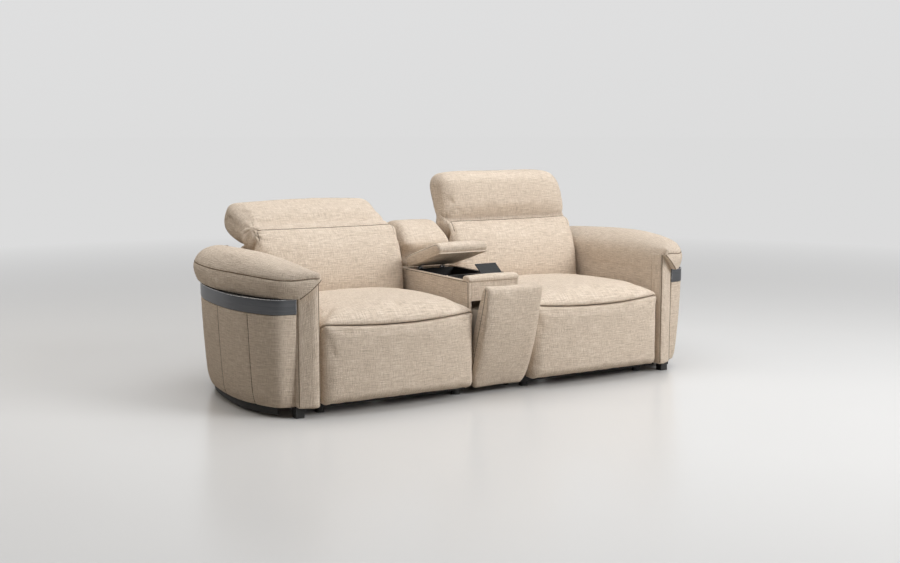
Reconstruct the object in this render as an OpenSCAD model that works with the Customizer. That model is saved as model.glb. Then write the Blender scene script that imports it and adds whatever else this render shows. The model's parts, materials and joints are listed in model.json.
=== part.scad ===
// Two-seat reclining sofa with a console between the seats: the console's padded lid is raised,
// its front panel tips forward with a bin behind it, and each headrest tilts on its own shaft.
// Lengths are in millimetres. X is across, Y runs from the front to the back and Z is up.

/* [Sofa] */
// Height of the feet, from the floor to the underside of the upholstery
foot_h = 43; // [38:1:60]
// Distance from the seats' front plane back to the middle of the whole sofa
origin_back = 489; // [460:1:520]
// Clear gap between a seat and the arm beside it
seat_gap = 8; // [6:1:12]
// Clear gap between a seat and the console
console_gap = 10; // [8:1:14]
// Clear space between the back shells and the rear panels
back_room = 17; // [12:1:40]

/* [Seats] */
// Width of a seat cushion
seat_w = 714; // [680:2:730]
// Length of a seat cushion, from the front plane to its rear end
seat_len = 596; // [580:1:600]
// Height of the seat deck above the underside of the upholstery
deck_rise = 207; // [204:1:215]
// Height of the cushion's side edge above the front seam
seat_edge_h = 40; // [34:1:50]
// How far the middle of a cushion stands above its side edges
seat_crown = 30; // [20:1:40]
// How far the middle of the front bows forward
front_bow = 30; // [20:1:34]
// Forward travel of a seat as it reclines
seat_travel = 110; // [90:1:115]

/* [Footrests] */
// Height of a footrest panel, which is the seat's front face when closed
footrest_h = 313; // [308:1:316]
// Thickness of a footrest panel
footrest_t = 85; // [80:1:88]
// Seam gap between the footrest panel and the cushion above it
seam_gap = 6; // [5:1:8]
// Length of a rear footrest link, between its pivots
rear_link_len = 162.6; // [162:0.1:164]
// Length of a front footrest link, between its pivots
front_link_len = 205; // [204:0.5:206]
// Closed angle of a rear link, above the direction to the back
rear_link_angle = -56.4; // [-57:0.1:-56]
// Closed angle of a front link, above the direction to the back
front_link_angle = 138.5; // [138:0.1:139]
// Width and thickness of a link bar
link_w = 26; // [22:1:28]
link_t = 5; // [4:1:6]

/* [Backs] */
// Height of a back cushion, from its lower edge to its upper front edge
back_h = 338; // [330:1:345]
// Depth of a back cushion at its lower edge, to the frame behind it
back_t = 164; // [160:1:170]
// How far the middle of a back cushion stands in front of its side edges
back_crown = 25; // [15:1:30]
// Thickness of the back's inner frame
back_frame_t = 30; // [26:1:34]

/* [Headrests] */
// How far each end of a headrest stands past the seat's side
headrest_over = 5; // [0:1:6]
// Height of a headrest above its shaft
headrest_h = 283; // [260:1:290]
// Depth of a headrest behind its shaft
headrest_t = 129; // [110:1:140]
// Radius of the rounded root that turns in the back's trough
root_r = 63; // [60:0.5:64]
// Radius of the headrest shaft
shaft_r = 8; // [6:0.5:10]
// How far the left headrest is tipped back
headrest_tilt = 60; // [0:1:60]

/* [Arms] */
// Width of an arm, from its inner face to its outer wall
arm_w = 263; // [240:1:290]
// How far the inner edge of the arm's front post stands above the band
post_rise = 79; // [65:1:90]
// Height of the top of the metal band
band_top = 478; // [465:1:490]
// Height of the metal band
band_h = 60; // [45:1:70]
// Thickness of the metal band
band_t = 4; // [3:0.5:6]
// Height of the arm pad above the band
arm_pad_h = 151; // [140:1:160]
// Width of the front post
post_w = 88; // [80:1:94]

/* [Console] */
// Width of the console body
console_w = 256; // [240:2:256]
// Height of the console's side walls above the floor
console_h = 489; // [480:1:495]
// Thickness of the console's walls and boards
board_t = 16; // [14:1:18]
// Distance of the console's front edge behind the seats' front plane
console_front = 85; // [80:1:90]
// Height of the top of the console's backrest pad
console_back_h = 706; // [690:1:720]

/* [Console lid] */
// Length of the lid
lid_len = 320; // [310:1:322]
// Thickness of the lid's padding
lid_t = 45; // [40:1:48]
// How far each side of the lid stands past the console's side
lid_over = 5; // [0:1:6]
// How far the lid is raised
lid_open = 16.3; // [0:0.1:40]

/* [Drop front] */
// Height of the drop-down front panel
drop_h = 469; // [455:1:470]
// Thickness of the panel's lower part
drop_t = 62; // [56:1:66]
// How far the panel is tipped forward
drop_open = 16.8; // [0:0.1:20]
// Depth of the bin behind the panel
bin_depth = 147; // [130:1:150]

/* [Tray flap] */
// Width of the flap
flap_w = 107; // [90:1:110]
// Length of the flap from its hinge
flap_len = 65; // [55:1:70]
// Thickness of the flap
flap_t = 4; // [3:0.5:5]
// How far the flap is raised
flap_open = 35; // [0:1:60]

/* [Hidden] */
$fn = 48;

fabric_colour = [0.80, 0.72, 0.62];
steel_colour = [0.36, 0.37, 0.39];
black_colour = [0.09, 0.09, 0.10];
wood_colour = [0.72, 0.58, 0.40];
chrome_colour = [0.82, 0.83, 0.85];
dark_colour = [0.16, 0.17, 0.18];

// Clearances: overrun of a cut, play round a pin, gap between moving plates, gap beside padding
over = 1;
pin_clear = 0.05;
layer_gap = 1;
soft_gap = 0.3;

// Seats: the middle of each seat and the levels of its parts
console_x = console_w / 2;
seat_x = console_x + console_gap + seat_w / 2;
arm_x = seat_x + seat_w / 2 + seat_gap;
base_z = foot_h;
deck_z = base_z + deck_rise;
footrest_top = base_z + footrest_h;
seam_z = footrest_top + seam_gap;
seat_edge_z = seam_z + seat_edge_h;
edge_round = 34;
side_pull = 7;

// Backs
back_gap = 8;
back_rise = 68;
frame_gap = 0.5;
frame_below = 86;
frame_drop = 38;
head_behind = 6;
head_below = 11;
trough_gap = 1.5;
upright_inset = 35;
upright_w = 30;
shell_len = 126;
back_y = seat_len + back_gap;
back_z = deck_z + back_rise;
frame_y = back_y + back_t + frame_gap;
frame_top = back_z + back_h - frame_below;
frame_foot = back_z - frame_drop;
shell_y = frame_y + back_frame_t + frame_gap;
head_y = back_y + back_t + head_behind;
head_z = back_z + back_h - head_below;
trough_r = root_r + trough_gap;
upright_x = seat_w / 2 - upright_inset;
headrest_w = seat_w + 2 * headrest_over;

// Rear panels and the sofa's depth
apron_t = 20;
apron_y = shell_y + shell_len + back_room;
body_depth = apron_y + apron_t;
apron_foot = 17;
apron_gap = 8;
apron_top = back_z - apron_gap;
stay_w = 40;
stay_h = 30;
stay_inset = 107;
stay_x = seat_w / 2 - stay_inset;
console_panel_in = 2;
console_panel_below = 66;
console_panel_top = console_back_h - console_panel_below;

// Base rails
rail_h = 23;
rail_w = 30;
rail_z = base_z - rail_h;
front_rail_y = 100;
rear_rail_back = 72;
rear_rail_y = body_depth - rear_rail_back;
runner_w = 40;
runner_inset = 57;
runner_off = seat_w / 2 - runner_inset;
pad_foot_r = 18;
arm_foot_w = 36;
arm_foot_x = 70;
rail_reach = 50;
front_foot_y = 48;
rear_foot_inset = 70;
console_floor_y = 160;

// Slides: a fixed bar with two posts, and a shoe that runs on it
slide_inset = 45;
slide_x = seat_w / 2 - slide_inset;
slide_w = 16;
slide_h = 45;
slide_post_h = 77;
slide_z = base_z + slide_post_h;
slide_y = 102;
slide_end = 120;
slide_len = rear_rail_y - slide_y - slide_end;
slide_post_len = 60;
shoe_y = 300;
shoe_len = 360;
shoe_t = 6;
flange_h = 26;

// Carriage: side plates, cross tubes and webbing
plate_t = 6;
plate_h = 45;
plate_front = 165;
tube_y = 314;
rear_tube_y = 566;
tube_d = 26;
tube_h = 30;
webbing_n = 5;
webbing_w = 60;
webbing_t = 3;

// Recline pivot, under the front of the back
pivot_back = 94;
pivot_rise = 46;
pivot_y = seat_len + pivot_back;
pivot_z = deck_z + pivot_rise;
pivot_r = 6;
eye_r = 15;
plate_rear = pivot_y + eye_r + plate_t;

// Actuator
act_rise = 97;
act_z = base_z + act_rise;
act_r = 18;
rod_r = 9;
tube_end_t = 16;
tube_gap = 6;
tube_back = rear_rail_y - tube_gap;
bore_end = tube_back - tube_end_t;
rod_room = 68;
rod_back = bore_end - rod_room;
rod_hold = 130;
tube_front = rod_back - seat_travel - rod_hold;
act_bracket_t = 10;
act_bracket_w = 36;

// Footrest pivots, from the deck and the link sizes
link_pin_r = 5;
rear_pivot_y = 183.6;
link_drop = 20.1;
rear_pivot_z = deck_z - link_drop;
knee_y = rear_pivot_y + rear_link_len * cos(rear_link_angle);
knee_z = rear_pivot_z + rear_link_len * sin(rear_link_angle);
toe_y = knee_y + front_link_len * cos(front_link_angle);
toe_z = knee_z + front_link_len * sin(front_link_angle);
plate_in = 4;
plate_x = slide_x + slide_w / 2 - plate_t / 2 - plate_in;
rear_link_x = slide_x - link_t - layer_gap;
front_link_x = rear_link_x - link_t - layer_gap;
ear_x = front_link_x - link_t - layer_gap;
ear_up = 14;
ear_down = 45;

// Console levels
console_rear = apron_y;
bin_clear = 76;
bin_clear_y = drop_t + bin_depth + bin_clear;
inner_x = console_x - board_t;
lid_hinge_y = 632;
lid_hinge_drop = 3;
lid_hinge_z = console_h - lid_hinge_drop;
drop_hinge_y = 104;
drop_hinge_rise = 162;
drop_hinge_z = base_z + drop_hinge_rise;
flap_y = 175;
flap_rise = 13;
flap_z = console_h + flap_rise;
tray_y = 140;
tray_len = 121;
tray_wall = 3;
tray_deep = 44;

// Moves a module's own frame, with Y = 0 at the seats' front plane, onto the sofa's origin
module place(colour) {
    color(colour) translate([0, -origin_back, 0]) children();
}

// Same, at the middle of the left (-1) or right (1) seat
module seat_place(side, colour) {
    place(colour) translate([side * seat_x, 0, 0]) children();
}

// Bar from y to y + len, from z to z + h, centred on x
module bar(x, w, y, len, z, h) {
    translate([x - w / 2, y, z]) cube([w, len, h]);
}

// Round bar along X from x0 to x1
module cross_pin(x0, x1, y, z, r) {
    translate([x0, y, z]) rotate([0, 90, 0]) cylinder(h = x1 - x0, r = r);
}

// Flat plate t thick from x along X with the outline of its children, drawn in Y and Z
module side_plate(x, t) {
    translate([x, 0, 0]) rotate([90, 0, 90]) linear_extrude(t) children();
}

// Closed solid through rings of equal point counts; each end closes on a middle point
module loft(rings, first, last) {
    n = len(rings[0]);
    m = len(rings);
    walls = [
        for (i = [0:m - 2], j = [0:n - 1]) let (k = (j + 1) % n)
            each [[i * n + j, (i + 1) * n + j, (i + 1) * n + k], [i * n + j, (i + 1) * n + k, i * n + k]]
    ];
    caps = [for (j = [0:n - 1]) let (k = (j + 1) % n) each [[m * n, j, k], [m * n + 1, (m - 1) * n + k, (m - 1) * n + j]]];
    polyhedron(points = concat([for (r = rings) each r], [first, last]), faces = concat(walls, caps), convexity = 8);
}

// Mean of a list of numbers
function mean(v) = v * [for (i = v) 1] / len(v);

// Points of an outline given as shares of a box: each row is [y share, z share, forward, up],
// where the last two say how strongly the crown moves that point
function from_shares(rows, y, z, w, h) = [for (r = rows) [y + r[0] * w, z + r[1] * h, r[2], r[3]]];

// Points along an arc in Y and Z, with the crown's weights
function arc(y, z, r, a0, a1, n, fy = 0, fz = 0) =
    [for (i = [0:n]) let (a = a0 + (a1 - a0) * i / n) [y + r * cos(a), z + r * sin(a), fy, fz]];

// Stations across a pad: [share of the half width, share of the edge rounding]
edge_angles = [85, 58, 30, 0];
mid_shares = [-0.55, 0, 0.55];
function stations(half, edge) = let (
    ends = [for (a = edge_angles) [(half - edge + edge * sin(a)) / half, 1 - cos(a)]],
    flat_half = (half - edge) / half
) concat(
    [for (e = ends) [-e[0], e[1]]],
    [for (s = mid_shares) [s * flat_half, 0]],
    [for (i = [len(ends) - 1:-1:0]) ends[i]]
);

// One section of a pad: rounded in towards its middle, crowned, and drawn in between its corners
function pad_section(rows, mid, size, half, edge, station, crown_y, crown_z, pull, drop) = let (
    t = station[0],
    inset = edge * station[1],
    sy = (size[0] / 2 - inset) / (size[0] / 2),
    sz = (size[1] / 2 - inset) / (size[1] / 2),
    c = 1 - t * t,
    e = pow(abs(t), 6)
) [for (p = rows) let (
    u = (p[0] - mid[0]) / (size[0] / 2),
    w = max(0, (p[1] - mid[1]) / (size[1] / 2)),
    y = mid[0] + (p[0] - mid[0]) * sy + crown_y * p[2] * c,
    z = mid[1] + (p[1] - mid[1]) * sz + crown_z * p[3] * c - drop * w * w * e
) [t * (half - pull * (1 - min(1, u * u))), y, z]];

// Soft pad across X with the outline rows; rows run counter-clockwise seen from the right
module soft_pad(rows, half, edge, crown_y = 0, crown_z = 0, pull = 0, drop = 0) {
    ys = [for (p = rows) p[0]];
    zs = [for (p = rows) p[1]];
    size = [max(ys) - min(ys), max(zs) - min(zs)];
    mid = [(max(ys) + min(ys)) / 2, (max(zs) + min(zs)) / 2];
    rings = [for (s = stations(half, edge))
        pad_section(rows, mid, size, half, edge, s, crown_y, crown_z, pull, drop)];
    cap = half - pull;
    loft(rings, [-cap, mid[0], mid[1]], [cap, mid[0], mid[1]]);
}

// Base

module feet() {
    place(black_colour)
        for (s = [-1, 1]) {
            for (y = [front_foot_y, body_depth - rear_foot_inset])
                bar(s * (arm_x + arm_foot_x), arm_foot_w, y, arm_foot_w, 0, base_z);
            for (x = [seat_x - runner_off - runner_w / 2, seat_x + runner_off + runner_w / 2])
                for (y = [front_rail_y + rail_w / 2, rear_rail_y + rail_w / 2])
                    translate([s * x, y, 0]) cylinder(h = rail_z, r = pad_foot_r);
        }
}

module base_cross_rails() {
    x0 = console_x + seat_gap;
    x1 = arm_x + rail_reach;
    place(black_colour) {
        for (s = [-1, 1])
            bar(s * (x0 + x1) / 2, x1 - x0, front_rail_y, rail_w, rail_z, rail_h);
        bar(0, 2 * x1, rear_rail_y, rail_w, rail_z, rail_h);
    }
}

module base_runners() {
    y0 = front_rail_y + rail_w;
    place(black_colour)
        for (s = [-1, 1]) {
            for (t = [-1, 1])
                bar(s * seat_x + t * (runner_off + runner_w / 2), runner_w, y0, rear_rail_y - y0, rail_z, rail_h);
            bar(s * (console_x - board_t / 2), board_t, console_floor_y, rear_rail_y - console_floor_y, 0, base_z);
        }
}

module slide_rails() {
    place(steel_colour)
        for (s = [-1, 1], t = [-1, 1]) {
            x = s * seat_x + t * (slide_x + slide_w / 2);
            bar(x, slide_w, slide_y, slide_len, slide_z, slide_h);
            for (y = [front_rail_y + rail_w, slide_y + slide_len - slide_post_len])
                bar(x, slide_w, y, slide_post_len, base_z, slide_z - base_z + over);
        }
}

module actuator_tubes() {
    place(dark_colour)
        for (s = [-1, 1])
            translate([s * seat_x, 0, 0]) difference() {
                union() {
                    translate([0, tube_front, act_z]) rotate([-90, 0, 0]) cylinder(h = tube_back - tube_front, r = act_r);
                    bar(0, act_r, rear_rail_y, rail_w, base_z, act_z - base_z);
                    bar(0, act_r, tube_back - over, rear_rail_y - tube_back + over + rail_w, act_z - act_r / 2, act_r);
                }
                translate([0, tube_front - over, act_z]) rotate([-90, 0, 0])
                    cylinder(h = bore_end - tube_front + over, r = rod_r + pin_clear);
            }
}

// Upholstered panels that close the rear, below the backs and behind the console
module rear_panels() {
    place(fabric_colour) {
        for (s = [-1, 1])
            bar(s * seat_x, seat_w, apron_y, apron_t, base_z + apron_foot, apron_top - base_z - apron_foot);
        bar(0, console_w - 2 * console_panel_in, apron_y, apron_t, base_z + apron_foot,
            console_panel_top - base_z - apron_foot);
        for (s = [-1, 1], t = [-1, 1])
            bar(s * seat_x + t * stay_x, stay_w, rear_rail_y, apron_y - rear_rail_y + over, base_z, stay_h);
    }
}

// Arms, drawn on the right and mirrored to the left

// Front post in plan, as shares of its width and of the body's depth: a slanted front face
post_shares = [[0, 0.000], [0.30, 0.000], [0.92, 0.029], [1.00, 0.036], [1.00, 0.072], [0, 0.072]];
post_points = [for (s = post_shares) [arm_x + s[0] * post_w, s[1] * body_depth]];
post_back = post_points[len(post_points) - 1][1];
// Outer wall in plan, as shares of the arm's width and depth, from just outside the post to the rear
wall_start_share = 0.031;
wall_shares = [
    [0.60, 0.050], [0.755, 0.105], [0.88, 0.190], [0.98, 0.306], [1.00, 0.425],
    [0.985, 0.536], [0.93, 0.670], [0.80, 0.800], [0.645, 0.900], [0.46, 0.962], [0.24, 0.985], [0.00, 0.985]
];
// Edge of the pad in plan, in the same shares
pad_shares = [
    [0.08, -0.030], [0.41, 0.006], [0.67, 0.072], [0.85, 0.190], [0.98, 0.350], [1.03, 0.480],
    [1.02, 0.620], [0.955, 0.740], [0.84, 0.850], [0.67, 0.935], [0.42, 0.988], [0.08, 0.998]
];
// Where each pad station meets the inner face, as shares of the depth
pad_root_shares = [-0.020, 0.060, 0.140, 0.240, 0.350, 0.450, 0.550, 0.650, 0.750, 0.850, 0.930, 1.000];
// Pad section: share across, overhang in shares of the overhang, share of the height
pad_section_shares = [
    [0, 0, 0], [0, 0, 0.42], [0.04, 0, 0.66], [0.14, 0, 0.86], [0.32, 0, 0.98], [0.52, 0, 1.00],
    [0.72, 0, 0.95], [0.88, 0, 0.82], [1, 0, 0.60], [1, 0.8, 0.46], [1, 0.8, 0.28], [1, 0.1, 0.10], [0.97, 0, 0]
];
// Height of the pad at each station, as shares of its full height
pad_rise_shares = [0.68, 0.80, 0.90, 0.97, 1, 1, 0.99, 0.97, 0.95, 0.93, 0.89, 0.85];
pad_over = 8;
post_top = band_top + post_rise;
panel_t = 34;
panel_taper = 30;
// Panel section, from the top down: share of the taper, share of the height
panel_shares = [[0, 1], [0.12, 0.75], [0.4, 0.4], [0.62, 0.18], [0.84, 0.06], [1.15, 0]];

// Plan point of a wall share, in the sofa's X and Y
function arm_point(s) = [arm_x + s[0] * arm_w, s[1] * body_depth];

// Smooth points between plan points, one added between each two
function smooth(p) = [
    for (i = [0:len(p) - 2]) each [
        p[i],
        (9 * (p[i] + p[i + 1]) - p[max(0, i - 1)] - p[min(len(p) - 1, i + 2)]) / 16
    ],
    p[len(p) - 1]
];

// Outward normals along plan points: straight to the front at the first, to the rear at the last
function normals(p) = concat(
    [[0, -1]],
    [for (i = [1:len(p) - 2]) let (d = p[i + 1] - p[i - 1]) [d[1], -d[0]] / norm(d)],
    [[0, 1]]
);

wall_start = [arm_x + post_w + soft_gap, wall_start_share * body_depth];
wall_line = smooth(concat([wall_start], [for (s = wall_shares) arm_point(s)]));
wall_normals = normals(wall_line);

// Ring across the wall at one station: offsets are [outward, height]
function wall_ring(i, offsets) = [
    for (o = offsets) let (p = wall_line[i] + wall_normals[i] * o[0]) [p[0], p[1], o[1]]
];

// Solid that follows the outer wall with the section offsets
module along_wall(offsets) {
    last = len(wall_line) - 1;
    rings = [for (i = [0:last]) wall_ring(i, offsets)];
    mid = [mean([for (o = offsets) o[0]]), mean([for (o = offsets) o[1]])];
    loft(rings, wall_ring(0, [mid])[0], wall_ring(last, [mid])[0]);
}

module arm_place(side, colour) {
    place(colour) mirror([side < 0 ? 1 : 0, 0, 0]) children();
}

// Plan outline of the space inside the wall, inset from it
module arm_inside(inset, front) {
    line = [for (i = [0:len(wall_line) - 1]) wall_line[i] - wall_normals[i] * inset];
    intersection() {
        polygon(concat([[arm_x, front]], line));
        translate([arm_x + panel_in, front]) square([2 * arm_w, body_depth]);
    }
}
panel_in = 24;
frame_board_t = 18;
wall_foot = panel_t + panel_taper * panel_shares[len(panel_shares) - 1][0] + soft_gap;
arm_rear = wall_shares[len(wall_shares) - 1][1] * body_depth - wall_foot;

module arm_side_panel(side) {
    top = band_top - band_h - soft_gap;
    rise = top - base_z;
    outer = [for (s = panel_shares) [-panel_taper * s[0], base_z + rise * s[1]]];
    inner = [for (i = [len(outer) - 1:-1:0]) [outer[i][0] - panel_t, outer[i][1]]];
    arm_place(side, fabric_colour) along_wall(concat(outer, inner));
}

// Front post with its mitred top: high at the inner face, low at the outer edge
module arm_post(side) {
    x1 = arm_x + post_w;
    arm_place(side, fabric_colour) intersection() {
        translate([0, 0, base_z]) linear_extrude(post_top - base_z) polygon(post_points);
        translate([0, body_depth, 0]) rotate([90, 0, 0]) linear_extrude(2 * body_depth) polygon([
            [arm_x - over, 0], [x1 + over, 0], [x1 + over, band_top], [x1, band_top], [arm_x, post_top],
            [arm_x - over, post_top]
        ]);
    }
}

module arm_inner_panel(side) {
    y0 = post_back + soft_gap;
    arm_place(side, fabric_colour)
        translate([arm_x, y0, base_z])
            cube([panel_in - soft_gap, arm_rear - y0, band_top - base_z - soft_gap]);
}

// Plywood frame inside the arm: an upright board, and a top board that carries the band and pad
module arm_frame(side) {
    y0 = post_back + soft_gap;
    z0 = base_z + frame_board_t;
    arm_place(side, wood_colour) {
        translate([arm_x + panel_in, y0, z0]) cube([frame_board_t, arm_rear - y0, band_top - z0 - band_h + over]);
        translate([0, 0, band_top - band_h]) linear_extrude(band_h - soft_gap) arm_inside(band_t + soft_gap, y0);
    }
}

// Boards under both arms, on the rails and feet, with the uprights standing on them
module arm_base_boards() {
    for (side = [-1, 1])
        arm_place(side, wood_colour)
            translate([0, 0, base_z]) linear_extrude(frame_board_t) arm_inside(wall_foot, post_back + soft_gap);
}

module arm_bands() {
    z0 = band_top - band_h;
    for (side = [-1, 1])
        arm_place(side, steel_colour)
            along_wall([[0, band_top - soft_gap], [0, z0], [-band_t, z0], [-band_t, band_top - soft_gap]]);
}

module arm_pad(side) {
    line = [for (s = pad_shares) arm_point(s)];
    n = len(line);
    rise = arm_pad_h;
    rings = [for (i = [0:n - 1]) let (
        root = [arm_x, pad_root_shares[i] * body_depth],
        reach = line[i] - root,
        out = reach / norm(reach)
    ) [for (s = pad_section_shares) let (p = root + reach * s[0] + out * pad_over * s[1])
        [p[0], p[1], band_top + rise * s[2] * pad_rise_shares[i]]]];
    first = [mean([for (p = rings[0]) p[0]]), mean([for (p = rings[0]) p[1]]), band_top + rise / 2];
    last = [mean([for (p = rings[n - 1]) p[0]]), mean([for (p = rings[n - 1]) p[1]]), band_top + rise / 2];
    x1 = arm_x + post_w + soft_gap;
    arm_place(side, fabric_colour) difference() {
        loft(rings, first, last);
        translate([0, post_back + soft_gap, 0]) rotate([90, 0, 0]) linear_extrude(2 * body_depth) polygon([
            [arm_x - over, band_top - over], [x1, band_top - over], [x1, band_top + soft_gap],
            [arm_x, post_top + soft_gap], [arm_x - over, post_top + soft_gap]
        ]);
    }
}

// Console

module console_walls() {
    place(fabric_colour) {
        for (x = [-console_x, inner_x])
            side_plate(x, board_t) polygon([
                [console_front, base_z + toe_cut_h], [console_front + toe_cut_len, base_z], [console_rear, base_z],
                [console_rear, console_h], [console_front, console_h]
            ]);
        cross_pin(inner_x - pin_reach, inner_x + over, drop_hinge_y, drop_hinge_z, link_pin_r);
        cross_pin(-inner_x - over, pin_reach - inner_x, drop_hinge_y, drop_hinge_z, link_pin_r);
    }
}
pin_reach = 8;
toe_cut_h = 108;
toe_cut_len = 48;

// Boards between the walls: floor, two dividers, the rail above the bin, the deck behind the tray
// and the shelf under the backrest pad
module console_boards() {
    w = 2 * inner_x;
    divider_z = base_z + board_t + layer_gap;
    shelf_y = hinge_board_y + shelf_back;
    place(fabric_colour) {
        bar(0, w, console_floor_y, console_rear - console_floor_y, base_z, board_t);
        bar(0, w, bin_clear_y, board_t, divider_z, console_h - divider_z);
        bar(0, w, hinge_board_y, board_t, divider_z, lid_hinge_z - hinge_drop - divider_z);
        bar(0, w, console_front, board_t, slot_z, console_h - slot_z);
        bar(0, w, shelf_y, console_rear - shelf_y, console_h - board_t, board_t);
    }
}
slot_z = 402;
hinge_board_y = 604;
hinge_drop = 22;
shelf_back = 48;

module console_storage() {
    y0 = bin_clear_y + board_t + soft_gap;
    len_y = hinge_board_y - y0 - soft_gap;
    z0 = console_h - store_deep;
    half = inner_x - soft_gap;
    place(dark_colour) difference() {
        bar(0, 2 * half, y0, len_y, z0, store_deep - store_wall);
        bar(0, 2 * (half - store_wall), y0 + store_wall, len_y - 2 * store_wall, z0 + store_wall, store_deep);
    }
}
store_deep = 190;
store_wall = 4;

// Tray behind the front roll, with two bosses that carry the flap's pin
module console_tray() {
    z0 = console_h - tray_deep;
    boss_z = z0 + tray_wall - over;
    w = 2 * inner_x;
    place(black_colour) {
        difference() {
            bar(0, w, tray_y, bin_clear_y - tray_y, z0, tray_deep + tray_rim);
            bar(0, w - 2 * tray_wall, tray_y + tray_wall, tray_len, z0 + tray_wall, tray_deep + tray_rim);
        }
        difference() {
            for (x = [flap_x0 - boss_w - boss_gap, flap_x0 + flap_w + boss_gap])
                translate([x, flap_y - boss_w, boss_z]) cube([boss_w, 2 * boss_w, flap_z - boss_z + boss_w / 2]);
            cross_pin(flap_x0 - 2 * boss_w, flap_x0 + flap_w + 2 * boss_w, flap_y, flap_z, flap_pin_r + pin_clear);
        }
    }
}
tray_rim = 3;
flap_side = 13;
flap_x0 = inner_x - flap_side - flap_w;
boss_w = 6;
boss_gap = 0.5;
flap_pin_r = 2;

module tray_flap() {
    place(dark_colour) translate([0, flap_y, flap_z]) rotate([flap_open, 0, 0]) {
        cross_pin(flap_x0 - boss_w, flap_x0 + flap_w + boss_w, 0, 0, flap_pin_r);
        translate([flap_x0, 0, -flap_t / 2]) cube([flap_w, flap_len, flap_t]);
    }
}

// Padded roll along the console's front edge
roll_shares = [
    [0.10, 0.00, 0, 0], [0.92, 0.00, 0, 0], [1.00, 0.30, 0, 0], [0.98, 0.75, 0, 0], [0.80, 0.96, 0, 1],
    [0.50, 1.00, 0, 1], [0.22, 0.92, 0, 1], [0.05, 0.70, 0, 1], [0.00, 0.38, 0, 0], [0.02, 0.12, 0, 0]
];
module console_front_roll() {
    roll_y = console_front - roll_over;
    z0 = console_h + soft_gap;
    place(fabric_colour)
        soft_pad(from_shares(roll_shares, roll_y, z0, tray_y - roll_y - layer_gap, roll_h), console_x, roll_round,
            crown_z = roll_crown);
}
roll_over = 2;
roll_h = 17;
roll_round = 8;
roll_crown = 3;

// Backrest pad above the console
console_back_shares = [
    [0.20, 0.00, 0, 0], [1.00, 0.00, 0, 0], [1.00, 0.45, 0, 0], [0.96, 0.72, 0, 0], [0.86, 0.88, 0, 0.5],
    [0.70, 0.96, 0, 1], [0.48, 0.97, 0, 1], [0.30, 0.87, 0, 1], [0.14, 0.72, -0.6, 0.6], [0.05, 0.60, -0.8, 0.3],
    [0.01, 0.52, -1, 0], [0.05, 0.42, -0.6, 0], [0.13, 0.27, 0, 0], [0.17, 0.15, 0, 0]
];
module console_back_pad() {
    z0 = console_h + soft_gap;
    len_y = apron_y - console_pad_y - soft_gap;
    place(fabric_colour)
        soft_pad(from_shares(console_back_shares, console_pad_y, z0, len_y, console_back_h - console_crown - z0),
            console_x, console_pad_round, crown_y = console_crown, crown_z = console_crown, pull = console_pad_pull);
}
console_pad_y = 638;
console_crown = 7;
console_pad_round = 24;
console_pad_pull = 2;

// Lid and its hinges: ears and pins on the hinge board, knuckles and leaves under the lid board
ear_out = 72;
ear_in = 48;
ear_thick = 5;
ear_deep = 40;
knuckle_r = 8;
knuckle_gap = 0.5;
lid_pin_r = 4;
leaf_len = 60;
leaf_t = 3;
module lid_hinge_brackets() {
    y0 = hinge_board_y + board_t;
    place(steel_colour)
        for (s = [-1, 1]) {
            for (x = [ear_in, ear_out - ear_thick])
                translate([s > 0 ? x : -x - ear_thick, y0, lid_hinge_z - ear_deep])
                    cube([ear_thick, lid_hinge_y - y0 + lid_pin_r, ear_deep + lid_pin_r]);
            cross_pin(s > 0 ? ear_in : -ear_out, s > 0 ? ear_out : -ear_in, lid_hinge_y, lid_hinge_z, lid_pin_r);
        }
}

// Places the lid's parts, drawn closed, at the angle at which the lid stands
module lid_turn(colour) {
    place(colour) translate([0, lid_hinge_y, lid_hinge_z]) rotate([-lid_open, 0, 0])
        translate([0, -lid_hinge_y, -lid_hinge_z]) children();
}
lid_board_t = 6;
lid_rise = 5;
lid_w = console_w + 2 * lid_over;
lid_board_z = console_h + lid_rise;
lid_board_in = 8;

module lid_board() {
    lid_turn(wood_colour)
        bar(0, lid_w - 2 * lid_board_in, lid_hinge_y - lid_len + lid_board_in, lid_len - 2 * lid_board_in,
            lid_board_z, lid_board_t);
}

module lid_hinge_leaves() {
    lid_turn(steel_colour)
        for (s = [-1, 1]) {
            x = (s > 0 ? ear_in : -ear_out) + ear_thick + knuckle_gap;
            w = ear_out - ear_in - 2 * (ear_thick + knuckle_gap);
            difference() {
                union() {
                    cross_pin(x, x + w, lid_hinge_y, lid_hinge_z, knuckle_r - over / 2);
                    translate([x, lid_hinge_y - leaf_len, lid_board_z - leaf_t]) cube([w, leaf_len, leaf_t]);
                }
                cross_pin(x - over, x + w + over, lid_hinge_y, lid_hinge_z, lid_pin_r + pin_clear);
            }
        }
}

lid_shares = [
    [0.04, 0.00, 0, 0], [0.96, 0.00, 0, 0], [0.99, 0.22, 0, 0], [1.00, 0.55, 0, 0], [0.97, 0.86, 0, 0.4],
    [0.90, 0.98, 0, 0.8], [0.70, 1.00, 0, 1], [0.40, 1.00, 0, 1], [0.12, 0.98, 0, 0.8], [0.04, 0.88, 0, 0.4],
    [0.00, 0.58, 0, 0], [0.01, 0.22, 0, 0]
];
module lid_pad() {
    z0 = lid_board_z + lid_board_t + soft_gap;
    lid_turn(fabric_colour)
        soft_pad(from_shares(lid_shares, lid_hinge_y - lid_len, z0, lid_len, lid_t), lid_w / 2, lid_round,
            crown_z = lid_crown, pull = lid_pull);
}
lid_round = 12;
lid_crown = 6;
lid_pull = 3;

// Drop front, drawn closed and turned about its pins

module drop_turn(colour) {
    place(colour) translate([0, drop_hinge_y, drop_hinge_z]) rotate([drop_open, 0, 0])
        translate([0, -drop_hinge_y, -drop_hinge_z]) children();
}

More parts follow.
